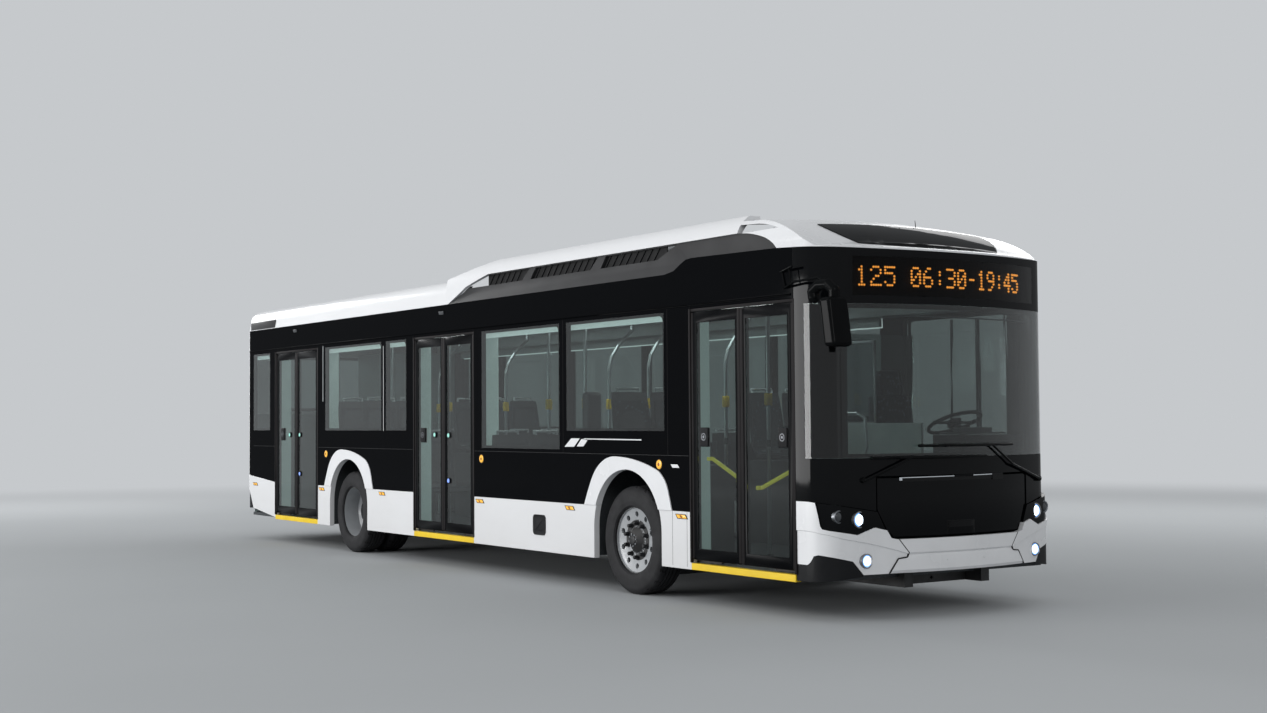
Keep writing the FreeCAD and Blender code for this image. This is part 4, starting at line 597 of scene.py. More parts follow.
def side_markers():
    """Amber marker lamps: slanted strips on the white panels, round repeaters with a dark eye above them."""
    lens, base, eye = bmesh.new(), bmesh.new(), bmesh.new()
    # Each slanted strip: its corners from the middle, and how far it stands out
    strips = ((lens, ((-0.076, 0.741), (-0.05, 0.711), (0.076, 0.711), (0.05, 0.741)), 0.006),
              (eye, ((-0.028, 0.738), (-0.006, 0.714), (0.022, 0.714), (-0.001, 0.738)), 0.0068),
              (base, ((-0.092, 0.746), (-0.058, 0.706), (0.092, 0.706), (0.058, 0.746)), 0.003))
    # Each round part: where it starts and ends outwards, its radii there and its segments
    rounds = ((lens, -0.002, 0.008, 0.043, 0.037, 28), (eye, 0.0, 0.0092, 0.017, 0.014, 24),
              (base, -0.002, 0.003, 0.05, 0.047, 28))
    round_z = 1.158
    for side in (-1, 1):
        y = side * HALF_WIDTH
        for x in STRIP_MARKERS:
            for bm, points, proud in strips:
                outline_plate(bm, [(x + dx, y, z) for dx, z in points], (0, side * proud, 0))
        for x in ROUND_MARKERS:
            for bm, y0, y1, radius, end_radius, segments in rounds:
                tube(bm, (x, y + side * y0, round_z), (x, y + side * y1, round_z), radius, segments,
                     end_radius)
    round_edges(lens, 0.002)
    finished("side_marker_lenses", lens, "amber_lens")
    finished("side_marker_eyes", eye, "amber_centre")
    finished("side_marker_bases", base, "black_moulding")


def step_lamps():
    """Small grey lamps over the middle and rear doors."""
    bm = bmesh.new()
    y = -HALF_WIDTH
    for x, z in ((-4.5, 2.71), (-0.465, 2.7)):
        verts = block(bm, (x - 0.05, y - 0.022, z - 0.018), (x + 0.05, y + 0.004, z + 0.018))
        low = [v for v in verts if v.co.z < z and v.co.y < y]
        bmesh.ops.translate(bm, verts=low, vec=(0, 0.012, 0))
    round_edges(bm, 0.006, 3)
    finished("step_lamps", bm, "grey_moulding")


def panel_seams():
    """Shut lines between the side panels: dark sealed joints 3 mm wide, low down and by the windows."""
    seams = []
    for side, skirt in ((-1, (3.76, 3.97)), (1, (1.0, 1.78, -1.62, -5.6, 3.9))):
        y0, y1 = side * (HALF_WIDTH - 0.002), side * (HALF_WIDTH + 0.0006)
        for places, z0, z1 in ((skirt, 0.31, 0.766), ((1.995, 3.7), 1.24, 2.49)):
            seams += [((x - 0.0015, y0, z0), (x + 0.0015, y1, z1)) for x in places]
    boxes("panel_seams", "rubber", seams)


def skirt_vent():
    """Black rounded flap with a finger recess in the white panel between the doors."""
    bm = bmesh.new()
    y = -HALF_WIDTH
    block(bm, (1.44, y - 0.008, 0.445), (1.67, y + 0.01, 0.64))
    upright = [e for e in bm.edges if abs(e.verts[0].co.y - e.verts[1].co.y) > 0.01]
    bevelled(bm, upright, 0.04, 6)
    front = min(bm.faces, key=lambda f: f.calc_center_median().y)
    for border, sink in ((0.014, 0.006), (0.03, -0.004)):
        bmesh.ops.inset_region(bm, faces=[front], thickness=border, use_even_offset=True)
        bmesh.ops.translate(bm, verts=list(front.verts), vec=(0, sink, 0))
    finished("skirt_vent", bm, "black_moulding")


def left_side_grille():
    """Louvred engine bay intake in the left wall, and the charging flap behind the left front wheel."""
    y = HALF_WIDTH
    bm = bmesh.new()
    framed_ring(bm, -5.85, -4.95, 0.95, 1.95, 0.03, 0.03, y - 0.001, 0.007)
    for row in range(22):
        z = 1.0 + row * 0.0415
        verts = block(bm, (-5.83, y - 0.001, z), (-4.97, y + 0.008, z + 0.026))
        top = [v for v in verts if v.co.z > z + 0.01 and v.co.y > y]
        bmesh.ops.translate(bm, verts=top, vec=(0, -0.007, 0))
    finished("left_side_grille", bm, "black_moulding")
    bm = bmesh.new()
    block(bm, (1.15, y - 0.003, 0.42), (1.6, y + 0.004, 0.7))
    round_edges(bm, 0.003)
    tube(bm, (1.55, y + 0.003, 0.56), (1.55, y + 0.009, 0.56), 0.02, 24, 0.018)
    finished("charging_flap", bm, "white_enamel")


# Doors

def leaf_frame_and_glass(node, body):
    """Splits the CAD leaf into its black frame and its pane."""
    source = merged(node)
    low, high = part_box(node)
    glass_y = LEAF_FACE + 0.006
    in_glass = {v for v in source.verts
                if glass_y - 0.001 < v.co.y < glass_y + 0.009 and low.x + 0.05 < v.co.x < high.x - 0.05}
    frame = source.copy()
    frame.verts.ensure_lookup_table()
    source.verts.ensure_lookup_table()
    bmesh.ops.delete(frame, geom=[frame.verts[v.index] for v in in_glass], context="VERTS")
    bmesh.ops.delete(source, geom=[v for v in source.verts if v not in in_glass], context="VERTS")
    round_edges(frame, 0.003)
    leaf = finished(node + "_frame", frame, "print_black", body)
    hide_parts(node)
    finished(node + "_glass", source, "door_glass", body)
    return low, high


def door_leaf_trim(name, jamb, seam, low, high):
    """Rubber edge seals, brush and the door's lock of one leaf."""
    body = "leaf_" + name
    toward = 1 if seam > jamb else -1
    outer = LEAF_FACE
    edge = high.x if toward > 0 else low.x
    hinge = low.x if toward > 0 else high.x
    bm = bmesh.new()
    block(bm, (edge - toward * 0.03, outer - 0.004, 0.385), (edge + toward * 0.0045, outer + 0.034, 2.435))
    block(bm, (hinge - toward * 0.012, outer - 0.003, 0.385), (hinge + toward * 0.014, outer + 0.03, 2.435))
    block(bm, (low.x + 0.02, outer + 0.004, 0.3745), (high.x - 0.02, outer + 0.026, 0.39))
    round_edges(bm, 0.003)
    finished("door_seals_" + name, bm, "rubber", body)
    if name == "front_fore" or name.endswith("aft"):
        box_x = {"front_aft": 4.206, "front_fore": 5.229, "middle_aft": -0.94, "rear_aft": -4.95}[name]
        bm = bmesh.new()
        block(bm, (box_x - 0.055, outer - 0.003, 1.315), (box_x + 0.055, outer + 0.03, 1.475))
        round_edges(bm, 0.008, 3)
        tube(bm, (box_x, outer - 0.002, 1.397), (box_x, outer - 0.0055, 1.397), 0.026, 28, 0.024)
        finished("door_lock_box_" + name, bm, "black_moulding", body)
        bm = bmesh.new()
        turned(bm, [(0.001, 0.031), (-0.005, 0.03), (-0.005, 0.025), (0.001, 0.024)],
               (box_x, outer - 0.003, 1.397), (0, 1, 0), 32)
        tube(bm, (box_x, outer - 0.005, 1.397), (box_x, outer - 0.0085, 1.397), 0.012, 20, 0.01)
        block(bm, (box_x - 0.0015, outer - 0.0095, 1.39), (box_x + 0.0015, outer - 0.008, 1.404))
        finished("door_lock_barrel_" + name, bm, "grey_metal", body)


def door_grab_bars():
    """Yellow slanted grab bars on the inside of both front leaves, each on two stubs; their paint glows a
    little as painted light.
    """
    root, y = -HALF_WIDTH + 0.045, -HALF_WIDTH + 0.095
    for name, x0, z0, x1, z1 in (("front_aft", 4.215, 1.215, 4.61, 1.043),
                                 ("front_fore", 5.3, 1.16, 4.866, 0.994)):
        bm = bmesh.new()
        bar(bm, [(x0, root, z0), (x0, y, z0), (x1, y, z1), (x1, root, z1)], 0.0165, 14)
        finished("door_grab_bar_" + name, bm, "bar_yellow", "leaf_" + name)


def door_buttons():
    """Green request buttons beside the seams and blue ramp buttons below, on the middle and rear doors."""
    y = LEAF_FACE
    for colour, leaf, x, z in (
            ("green", "middle_aft", -0.655, 1.4), ("green", "middle_fore", -0.335, 1.395),
            ("blue", "middle_fore", -0.336, 0.915), ("green", "rear_aft", -4.71, 1.388),
            ("green", "rear_fore", -4.38, 1.388), ("blue", "rear_fore", -4.38, 0.897)):
        base, lamp = bmesh.new(), bmesh.new()
        tube(base, (x, y + 0.03, z), (x, y - 0.006, z), 0.034, 28, 0.03)
        tube(lamp, (x, y - 0.005, z), (x, y - 0.009, z), 0.024, 24, 0.02)
        label = colour + "_" + leaf
        finished("door_button_ring_" + label, base, "black_moulding", "leaf_" + leaf)
        finished("door_button_" + label, lamp, "button_" + colour, "leaf_" + leaf)


def doors():
    """Six leaves with their trim on swing arms."""
    for door, ends in (("rear", REAR_DOOR), ("middle", MIDDLE_DOOR), ("front", FRONT_DOOR)):
        seam = (ends[0] + ends[1]) / 2
        for end, jamb in (("aft", ends[0]), ("fore", ends[1])):
            name = door + "_" + end
            low, high = leaf_frame_and_glass("door_leaf_" + name, "leaf_" + name)
            door_leaf_trim(name, jamb, seam, low, high)
            painted("door_arm_" + name, "iron")
    door_grab_bars()
    door_buttons()


def door_surrounds():
    """Grey rubber jamb profiles, a brushed header over each doorway and pale covers over the posts inside,
    which glow faintly as painted light.
    """
    bm, covers = bmesh.new(), bmesh.new()
    face = -HALF_WIDTH
    for x0, x1 in (REAR_DOOR, MIDDLE_DOOR, FRONT_DOOR):
        for x, toward in ((x0, 1), (x1, -1)):
            block(bm, (x - toward * 0.016, face - 0.003, 0.35), (x + toward * 0.006, face + 0.02, 2.468))
            # The front door's forward post is bare
            if x < 5.0:
                block(covers, (x - toward * 0.13, -1.214, FLOOR_TOP), (x - toward * 0.03, -1.03, 2.478))
        block(bm, (x0 + 0.004, face + 0.004, 2.444), (x1 - 0.004, face + 0.03, 2.469))
    round_edges(bm, 0.003)
    round_edges(covers, 0.03, 4)
    finished("door_surrounds", bm, "rubber")
    finished("door_post_covers", covers, "post_cover")


# Wheels

def tyre(name, body, side, x, centre_y):
    """Steel-belted tyre: four tread grooves, ribbed shoulders, and raised rings on its walls."""
    half, depth, steps = 0.1375, 0.013, 88
    # Wall and shoulder as (distance in from the outer face, radius), from the rim outwards
    wall = [(0.02, RIM_RADIUS), (0.006, RIM_RADIUS + 0.012), (0.004, 0.322), (0.0, 0.335), (0.0, 0.355),
            (0.002, 0.4), (0.005, 0.428), (0.0065, 0.43), (0.0065, 0.434), (0.011, 0.444), (0.0145, 0.449),
            (0.023, 0.464), (0.034, 0.4735)]
    tread = [(a, TYRE_RADIUS) for a in (0.046, 0.0935, 0.1315, 0.1675, 0.229)]
    for groove in (0.0815, 0.1195, 0.1555, 0.1935):
        tread += [(groove - 0.0045, TYRE_RADIUS), (groove - 0.0032, TYRE_RADIUS - depth),
                  (groove + 0.0032, TYRE_RADIUS - depth), (groove + 0.0045, TYRE_RADIUS)]
    profile = [(a - half, r) for a, r in wall + sorted(tread)] + [(half - a, r) for a, r in wall[::-1]]
    bm = bmesh.new()
    turned(bm, profile, (x, side * centre_y, AXLE_Z), (0, 1, 0), steps)
    bmesh.ops.recalc_face_normals(bm, faces=bm.faces)
    shoulder = []
    for f in bm.faces:
        c = f.calc_center_median()
        if 0.075 < abs(c.y - side * centre_y) < 0.115 and math.hypot(c.x - x, c.z - AXLE_Z) > 0.46:
            angle = math.atan2(c.z - AXLE_Z, c.x - x) % math.tau
            if int(round(angle / math.tau * steps - 0.5)) % 4 == 0:
                shoulder.append(f)
    bmesh.ops.inset_individual(bm, faces=shoulder, thickness=0.0035, depth=-0.007, use_even_offset=True)
    return finished(name, bm, "tyre", body, smooth=28.0)


def round_row(bm, side, x, ring_radius, count, shape, phase=0.5):
    """Repeats a small turned piece round the axle; shape lists (distance outwards, radius) steps."""
    for step in range(count):
        angle = math.tau / count * (step + phase)
        cx = x + ring_radius * math.cos(angle)
        cz = AXLE_Z + ring_radius * math.sin(angle)
        for (y0, r0), (y1, r1) in zip(shape, shape[1:]):
            tube(bm, (cx, side * y0, cz), (cx, side * y1, cz), r0, 16, r1)


def wheel_fittings(side, name, body, x, nut_circle, face_y, hub_y, hub_radius):
    """Black nut caps, the hub's cover and its bolts, the dark drum behind the hand holes, and the valve."""
    caps, cover, bolts, drum, valve = (bmesh.new() for _ in range(5))
    round_row(caps, side, x, nut_circle, 10, [(face_y + out, radius) for out, radius in (
        (0.0, 0.026), (0.007, 0.024), (0.008, 0.019), (0.042, 0.017), (0.047, 0.01))])
    finished("nut_caps_" + name, caps, "nut_cap", body)
    for start, end, share, end_share in ((-0.03, 0.004, 1.0, 1.0), (0.003, 0.012, 0.72, 0.62)):
        tube(cover, (x, side * (hub_y + start), AXLE_Z), (x, side * (hub_y + end), AXLE_Z),
             hub_radius * share, 40, hub_radius * end_share)
    round_edges(cover, 0.002)
    finished("hub_cover_" + name, cover, "nut_cap", body)
    round_row(bolts, side, x, hub_radius * 0.86, 8, ((hub_y + 0.002, 0.0075), (hub_y + 0.011, 0.0075)), 0.25)
    finished("hub_bolts_" + name, bolts, "grey_metal", body)
    turned(drum, [(side * (face_y - inwards), radius) for inwards, radius in (
        (0.09, 0.262), (0.05, 0.262), (0.05, 0.2), (0.09, 0.2))], (x, 0, AXLE_Z), (0, 1, 0), 48)
    finished("brake_drum_" + name, drum, "iron", body)
    bar(valve, [(x + dx, side * (face_y + dy), AXLE_Z + dz) for dx, dy, dz in (
        (0.2, -0.004, 0.1), (0.21, 0.012, 0.105), (0.245, 0.02, 0.12))], 0.0045, 10)
    finished("tyre_valve_" + name, valve, "chrome", body)


def wheels():
    """Single tyres in front, twins behind, with dressed rims and their fittings."""
    for side, name in ((-1, "right"), (1, "left")):
        front_body, rear_body = "wheel_front_" + name, "wheels_rear_" + name
        front = tyre("tyre_tread_front_" + name, front_body, side, FRONT_AXLE, WHEEL_Y)
        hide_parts("tyre_front_" + name)
        outer = tyre("tyre_tread_rear_outer_" + name, rear_body, side, REAR_AXLE, WHEEL_Y)
        tyre("tyre_tread_rear_inner_" + name, rear_body, side, REAR_AXLE, WHEEL_Y - TWIN_SPACING)
        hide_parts("tyres_rear_" + name)
        for node, body, x, limit in (("rim_front_" + name, front_body, FRONT_AXLE, 0.118),
                                     ("rims_rear_" + name, rear_body, REAR_AXLE, 0.135)):
            rim = softened(node, "rim_metal", 0.0025, body)
            rim.data.materials.append(MATERIALS["iron"])
            for face in rim.data.polygons:
                if (Vector((face.center.x, 0, face.center.z)) - Vector((x, 0, AXLE_Z))).length < limit:
                    face.material_index = 1
        wheel_fittings(side, "front_" + name, front_body, FRONT_AXLE, 0.152, WHEEL_Y + 0.075,
                       WHEEL_Y + 0.123, 0.062)
        wheel_fittings(side, "rear_" + name, rear_body, REAR_AXLE, 0.167, WHEEL_Y - 0.144,
                       WHEEL_Y - 0.026, 0.1)


# Front

# Rows of five light dots, from the top
DIGITS = {
    "0": "01110 10001 10011 10101 11001 10001 01110", "1": "00100 01100 00100 00100 00100 00100 01110",
    "2": "01110 10001 00001 00110 01000 10000 11111", "3": "11110 00001 00001 01110 00001 00001 11110",
    "4": "00010 00110 01010 10010 11111 00010 00010", "5": "11111 10000 11110 00001 00001 10001 01110",
    "6": "00110 01000 10000 11110 10001 10001 01110", "9": "01110 10001 10001 01111 00001 00010 01100",
    ":": "00000 00100 00100 00000 00100 00100 00000", "-": "00000 00000 00000 01110 00000 00000 00000",
    " ": "00000 00000 00000 00000 00000 00000 00000",
}


def destination_display():
    """Amber light dots of the destination display, set behind its pane: a plain number and hours."""
    bm = bmesh.new()
    pitch = 0.0193
    for place, letter in enumerate("125 06:30-19:45"):
        for row, line in enumerate(DIGITS[letter].split()):
            for column, dot in enumerate(line):
                if dot == "1":
                    y = -0.935 + (place * 6 + column) * pitch
                    z = 2.702 - row * pitch * 1.2
                    bmesh.ops.create_icosphere(bm, subdivisions=1, radius=0.0098,
                                               matrix=Matrix.Translation((nose_x(y) - 0.03, y, z)))
    finished("destination_dots", bm, "led_amber")
    bm = bmesh.new()
    curved_plate(bm, [(-0.985, 2.475), (0.985, 2.475), (0.985, 2.785), (-0.985, 2.785)], -0.044, 0.008)
    finished("display_board", bm, "led_off")


def curved_plate(bm, outline, proud, thickness, face_x=nose_x):
    """Plate that follows the nose: cut from its front outline of (y, z), thickened inwards."""
    part = bmesh.new()
    part.faces.new([part.verts.new((0, y, z)) for y, z in outline])
    lows, highs = min(y for y, z in outline), max(y for y, z in outline)
    steps = max(int((highs - lows) / 0.04), 1)
    for step in range(1, steps):
        y = lows + (highs - lows) * step / steps
        bmesh.ops.bisect_plane(part, geom=part.verts[:] + part.edges[:] + part.faces[:], plane_co=(0, y, 0),
                               plane_no=(0, 1, 0), dist=0.00001)
    for v in part.verts:
        v.co.x = face_x(v.co.y) + proud
    thicken(part, list(part.faces), (-thickness, 0, 0))
    bmesh.ops.recalc_face_normals(part, faces=part.faces)
    join(bm, part)


def nose_panes():
    """Splits the CAD nose glass into the clear windscreen and the smoked pane over the display."""
    split_z = 2.445
    for name, keep_low, material in (("windscreen", True, "screen_glass"),
                                     ("display_pane", False, "display_glass")):
        bm = merged("front_glass", whole=False)
        bmesh.ops.delete(bm, geom=[v for v in bm.verts if (v.co.z < split_z) != keep_low], context="VERTS")
        piece = finished(name, bm, material, smooth=25.0)
        if keep_low:
            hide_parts("front_glass")


def curved_box(bm, y0, y1, z0, z1, proud, thickness, face_x=nose_x):
    """Upright rectangle that follows the nose."""
    curved_plate(bm, [(y0, z0), (y1, z0), (y1, z1), (y0, z1)], proud, thickness, face_x)


def screen_print():
    """Black ceramic print inside the windscreen: round its edge, deep at the bottom and on both corners."""
    bm = bmesh.new()
    low, high = 1.24, 2.417
    for y0, y1, z0, z1 in ((-1.03, -1.262, low, high), (1.03, 1.262, low, high),
                           (-1.04, 1.04, low, low + 0.03), (-1.04, 1.04, high - 0.035, high)):
        curved_box(bm, y0, y1, z0, z1, -0.0135, 0.002)
    finished("windscreen_print", bm, "print_black")


def bumper_joints():
    """Dark zigzag joints between the bumper's middle and corners, and the flush edge of the display pane."""
    bm = bmesh.new()
    line = ((0.649, 0.615), (0.563, 0.512), (0.578, 0.478), (0.656, 0.47), (0.734, 0.36))
    for side in (-1, 1):
        for (y0, z0), (y1, z1) in zip(line, line[1:]):
            across = 0.0045 if abs(z1 - z0) > abs(y1 - y0) * 0.5 else 0.0
            up = 0.0 if across else 0.0045
            curved_plate(bm, [(side * (y0 - across), z0 + up), (side * (y1 - across), z1 + up),
                              (side * (y1 + across), z1 - up), (side * (y0 + across), z0 - up)],
                         0.0006, 0.012, bumper_x)
    finished("bumper_joints", bm, "rubber")
    bm = bmesh.new()
    for y0, y1, z0, z1 in ((-1.012, 1.012, 2.781, 2.802), (-1.012, 1.012, 2.458, 2.479),
                           (-1.012, -0.99, 2.479, 2.781), (0.99, 1.012, 2.479, 2.781)):
        curved_box(bm, y0, y1, z0, z1, 0.0007, 0.004)
    finished("display_edge", bm, "gloss_black")


def flap_trim():
    """Chrome line and its dark slot across the top of the service flap, and the cover over the towing eye."""
    chrome, dark, cover = bmesh.new(), bmesh.new(), bmesh.new()
    curved_plate(dark, [(-0.6, 1.052), (0.475, 1.058), (0.475, 1.09), (-0.6, 1.084)], 0.0015, 0.004, flap_x)
    curved_plate(chrome, [(-0.61, 1.08), (0.33, 1.088), (0.33, 1.094), (-0.61, 1.086)], 0.004, 0.006, flap_x)
    curved_box(chrome, -0.625, -0.6, 1.062, 1.086, 0.004, 0.006, flap_x)
    curved_box(dark, 0.335, 0.475, 1.048, 1.1, 0.006, 0.008, flap_x)
    curved_box(cover, -0.17, 0.1, 0.638, 0.738, 0.004, 0.01, flap_x)
    for y0, y1, z0, z1 in ((-0.18, 0.11, 0.738, 0.743), (-0.18, -0.172, 0.638, 0.743),
                           (0.1, 0.113, 0.638, 0.743)):
        curved_box(dark, y0, y1, z0, z1, 0.0015, 0.004, flap_x)
    finished("flap_slot", dark, "led_off", "front_flap")
    finished("flap_chrome_line", chrome, "chrome", "front_flap")
    round_edges(cover, 0.002)
    finished("towing_eye_cover", cover, "gloss_black", "front_flap")


def wiper_blades():
    """Rubber blades with their spoilers along the ends of both wiper arms."""
    bm = bmesh.new()
    for y0, y1, z in ((-0.86, -0.02, 1.238), (-0.46, 0.576, 1.327)):
        spread = [y0 + (y1 - y0) * step / 12 for step in range(13)]
        points = [(nose_x(y) + 0.016, y, z) for y in spread]
        bar(bm, points, 0.012, 10)
        bar(bm, [(x + 0.012, y, zz + 0.006) for x, y, zz in points[2:-2]], 0.007, 8)
    finished("wiper_blades", bm, "wiper_black")


def lamp_unit(lens, ring, glow, y, z, radius, x):
    """Round projector lamp: stepped bezel, glowing ring and a bulged lens."""
    for bm, profile in (
            (ring, ((-0.03, 1.5), (0.0, 1.45), (0.003, 1.3), (-0.004, 1.14), (-0.03, 1.1))),
            (glow, ((-0.02, 1.14), (-0.004, 1.13), (-0.002, 0.95), (-0.02, 0.95)))):
        turned(bm, [(a, radius * share) for a, share in profile], (x, y, z), (1, 0, 0), 36)
    tube(lens, (x - 0.02, y, z), (x - 0.003, y, z), radius * 0.95, 36)
    bmesh.ops.create_uvsphere(lens, u_segments=32, v_segments=16, radius=radius * 0.94, matrix=(
        Matrix.Translation((x - 0.004, y, z)) @ Matrix.Diagonal((0.3, 1, 1, 1))))


def front_lamps():
    """Lit headlamps, dark second lamps behind them and lit fog lamps."""
    lit, dark, ring, blue = (bmesh.new() for _ in range(4))
    for side in (-1, 1):
        lamp_unit(lit, ring, blue, side * 0.965, 0.772, 0.044, bumper_x(0.965) - 0.012)
        lamp_unit(dark, ring, dark, side * 1.125, 0.797, 0.034, bumper_x(1.125) - 0.012)
        lamp_unit(lit, ring, blue, side * 0.92, 0.46, 0.038, bumper_x(0.92) + 0.003)
    finished("lamp_lenses_lit", lit, "lamp_light")
    finished("lamp_rings_blue", blue, "lamp_blue")
    finished("lamp_lenses_dark", dark, "smoked_lens")
    finished("lamp_bezels", ring, "grey_metal")


def mirror_glass():
    """Silvered glasses on the leaning rear faces of both mirror housings, with their dark edge."""
    silvered, edge = bmesh.new(), bmesh.new()
    lean = 0.055 / 0.365
    for x, y in ((5.96, -1.42), (5.1, 1.42)):
        for bm, half, z0, z1, proud in ((silvered, 0.066, 2.115, 2.38, 0.0026),
                                        (edge, 0.072, 2.105, 2.39, 0.0016)):
            verts = block(bm, (x - proud, y - half, z0), (x + 0.012, y + half, z1))
            for v in verts:
                v.co.x += lean * (2.43 - v.co.z)
    finished("mirror_glasses", silvered, "mirror_metal")
    finished("mirror_edges", edge, "rubber")


def roof_aerials():
    """Two short aerials on the front slope of the roof cap."""
    bm = bmesh.new()
    for x, y, z, top in ((5.16, 0.25, 3.1, 3.19), (5.3, -0.06, 3.05, 3.1)):
        tube(bm, (x, y, z - 0.03), (x, y, z + 0.012), 0.024, 24, 0.018)
        tube(bm, (x, y, z + 0.01), (x - 0.01, y, top), 0.004, 10, 0.0025)
    finished("roof_aerials", bm, "black_moulding")


# Roof

def fairing_mesh_and_shade_boards():
    """Flat black boards behind the air openings of the roof fairings, standing for their mesh and for painted
    shade inside them, with slanted grey blades in front.
    """
    bm, blades = bmesh.new(), bmesh.new()
    for side in (-1, 1):
        inner, face = side * 1.1935, side * 1.2045
        # A solid black board: it stands for the mesh and paints the shade inside the openings.
        block(bm, (0.42, inner - side * 0.008, 2.905), (3.6, inner + side * 0.0016, 3.043))
        for start, end in ((0.5, 1.16), (1.42, 2.41), (2.68, 3.5)):
            for step in range(int((end - start) / 0.11) + 1):
                x = start + step * 0.11
                outline_plate(blades, [(x + dx, inner, z) for dx, z in (
                    (-0.05, 2.932), (-0.044, 2.932), (0.05, 3.033), (0.044, 3.033))], (0, face - inner, 0))
    finished("fairing_mesh_and_shade_boards", bm, "led_off")
    finished("fairing_blades", blades, "black_moulding")


def lid_bolts(bm, x0, x1, half, z):
    """Row of flange bolts, 0.24 m apart or a little more, along both long edges of a roof lid."""
    count = max(int((x1 - x0 - 0.14) / 0.24), 1)
    for side in (-1, 1):
        for step in range(count + 1):
            x = x0 + 0.07 + (x1 - x0 - 0.14) * step / count
            tube(bm, (x, side * half, z - 0.002), (x, side * half, z + 0.004), 0.012, 12, 0.012)
            tube(bm, (x, side * half, z + 0.003), (x, side * half, z + 0.009), 0.007, 6, 0.007)


def roof_fittings():
    """Lifting eyes, bolts and seams on the roof lids, two fans on the cooling unit, two escape hatches."""
    bolts, seams, fans, hatch = (bmesh.new() for _ in range(4))
    fan_x = -4.6
    for x0, x1, half, top in ((0.4, 1.4, 0.84, 3.11), (1.5, 2.5, 0.84, 3.11), (2.6, 3.6, 0.84, 3.11),
                              (3.7, 4.7, 0.84, 3.11), (-1.91, -1.4, 0.84, 3.02), (-2.9, -2.02, 0.84, 2.99),
                              (-5.3, -3.9, 0.79, 2.96), (-6.0, -5.5, 0.54, 2.93)):
        lid_bolts(bolts, x0, x1, half, top)
        middle = (x0 + x1) / 2
        block(seams, (middle - 0.004, -half + 0.03, top - 0.002), (middle + 0.004, half - 0.03, top + 0.0015))
        for side in (-1, 1):
            turned(bolts, [(-0.006, 0.03), (0.006, 0.03), (0.006, 0.018), (-0.006, 0.018)],
                   (x0 + 0.12, side * (half - 0.16), top + 0.022), (1, 0, 0), 20)
    for y in (-0.4, 0.4):
        turned(fans, [(-0.004, 0.33), (0.03, 0.33), (0.036, 0.32), (0.03, 0.3), (-0.004, 0.3)],
               (fan_x, y, 2.96), (0, 0, 1), 48)
        for radius in (0.27, 0.21, 0.15, 0.09):
            turned(fans, [(0.018, radius), (0.022, radius), (0.022, radius - 0.006), (0.018, radius - 0.006)],
                   (fan_x, y, 2.96), (0, 0, 1), 40)
        tube(fans, (fan_x, y, 2.958), (fan_x, y, 2.984), 0.05, 24, 0.045)
        for turn in range(8):
            angle = math.tau * turn / 8
            tip = (fan_x + 0.31 * math.cos(angle), y + 0.31 * math.sin(angle), 2.979)
            tube(fans, (fan_x, y, 2.979), tip, 0.004, 8)
    for x in (-3.3, -0.85):
        block(hatch, (x - 0.42, -0.42, 2.8), (x + 0.42, 0.42, 2.87))
        block(hatch, (x - 0.36, -0.36, 2.865), (x + 0.36, 0.36, 2.905))
    round_edges(hatch, 0.025, 4)
    finished("roof_lid_bolts", bolts, "bare_aluminium")
    finished("roof_lid_seams", seams, "rubber")
    finished("roof_fans", fans, "black_moulding")
    finished("roof_escape_hatches", hatch, "white_moulding")


# Rear

def rear_fittings():
    """Round rear lamps with their rims, the bare number plate, reflectors, and the hatch's handles."""
    red, amber, clear, trim = (bmesh.new() for _ in range(4))
    face = TAIL_FACE
    for side in (-1, 1):
        y = side * 1.135
        for z, bm in ((0.855, red), (0.985, clear), (1.115, amber), (1.245, red)):
            turned(trim, [(0.001, 0.053), (-0.004, 0.052), (-0.005, 0.046), (0.001, 0.045)],
                   (face, y, z), (1, 0, 0), 32)
            tube(bm, (face + 0.003, y, z), (face - 0.003, y, z), 0.045, 32, 0.043)
            bmesh.ops.create_uvsphere(bm, u_segments=28, v_segments=14, radius=0.042, matrix=(
                Matrix.Translation((face - 0.002, y, z)) @ Matrix.Diagonal((0.13, 1, 1, 1))))
        block(red, (face - 0.003, side * 1.085, 2.615), (face + 0.002, side * 1.185, 2.645))
        block(red, (face - 0.004, side * 0.92, 0.56), (face + 0.001, side * 1.06, 0.6))
        tube(trim, (face + 0.002, side * 0.62, 0.79), (face - 0.0075, side * 0.62, 0.79), 0.022, 24, 0.02)
    round_edges(red, 0.001)
    finished("rear_lamps_red", red, "red_lens")
    finished("rear_lamps_amber", amber, "amber_lens")
    finished("rear_lamps_clear", clear, "clear_lens")
    finished("rear_lamp_rims", trim, "grey_metal")
    boxes("rear_window_seal", "rubber", [((face - 0.001, -0.885, 1.66), (face + 0.0015, 0.885, 1.69))])
    boxes("number_plate_rear", "white_moulding",
          [((face - 0.006, -0.26, 0.463), (face + 0.001, 0.26, 0.577))], 0.0025)
    half, low, high, border = 0.9, 1.7, 2.45, 0.04
    boxes("rear_window_print", "print_black",
          [((face + 0.0055, y0, z0), (face + 0.0075, y1, z1)) for y0, y1, z0, z1 in (
              (-half, half, low, low + border), (-half, half, high - border, high),
              (-half, border - half, low, high), (half - border, half, low, high))])
    boxes("engine_hatch_grips", "grey_moulding",
          [((face + 0.002, y - 0.06, 0.77), (face + 0.012, y + 0.06, 0.8)) for y in (-0.45, 0.45)],
          0.003, body="engine_hatch")


# Cabin

# Double seats on the floor and on the wheel boxes: side, and where the seat's back stands
FLOOR_SEATS = ((-1, 0.56), (-1, 1.33), (-1, -1.9), (1, -4.5), (1, -1.9), (1, 0.9), (1, 1.64))
BOX_SEATS = ((-1, 2.78), (-1, -3.26), (-1, -2.56), (1, -3.26), (1, -2.56), (1, 2.78))
SEAT_WIDTH = 0.43
SEAT_WALL = 1.21


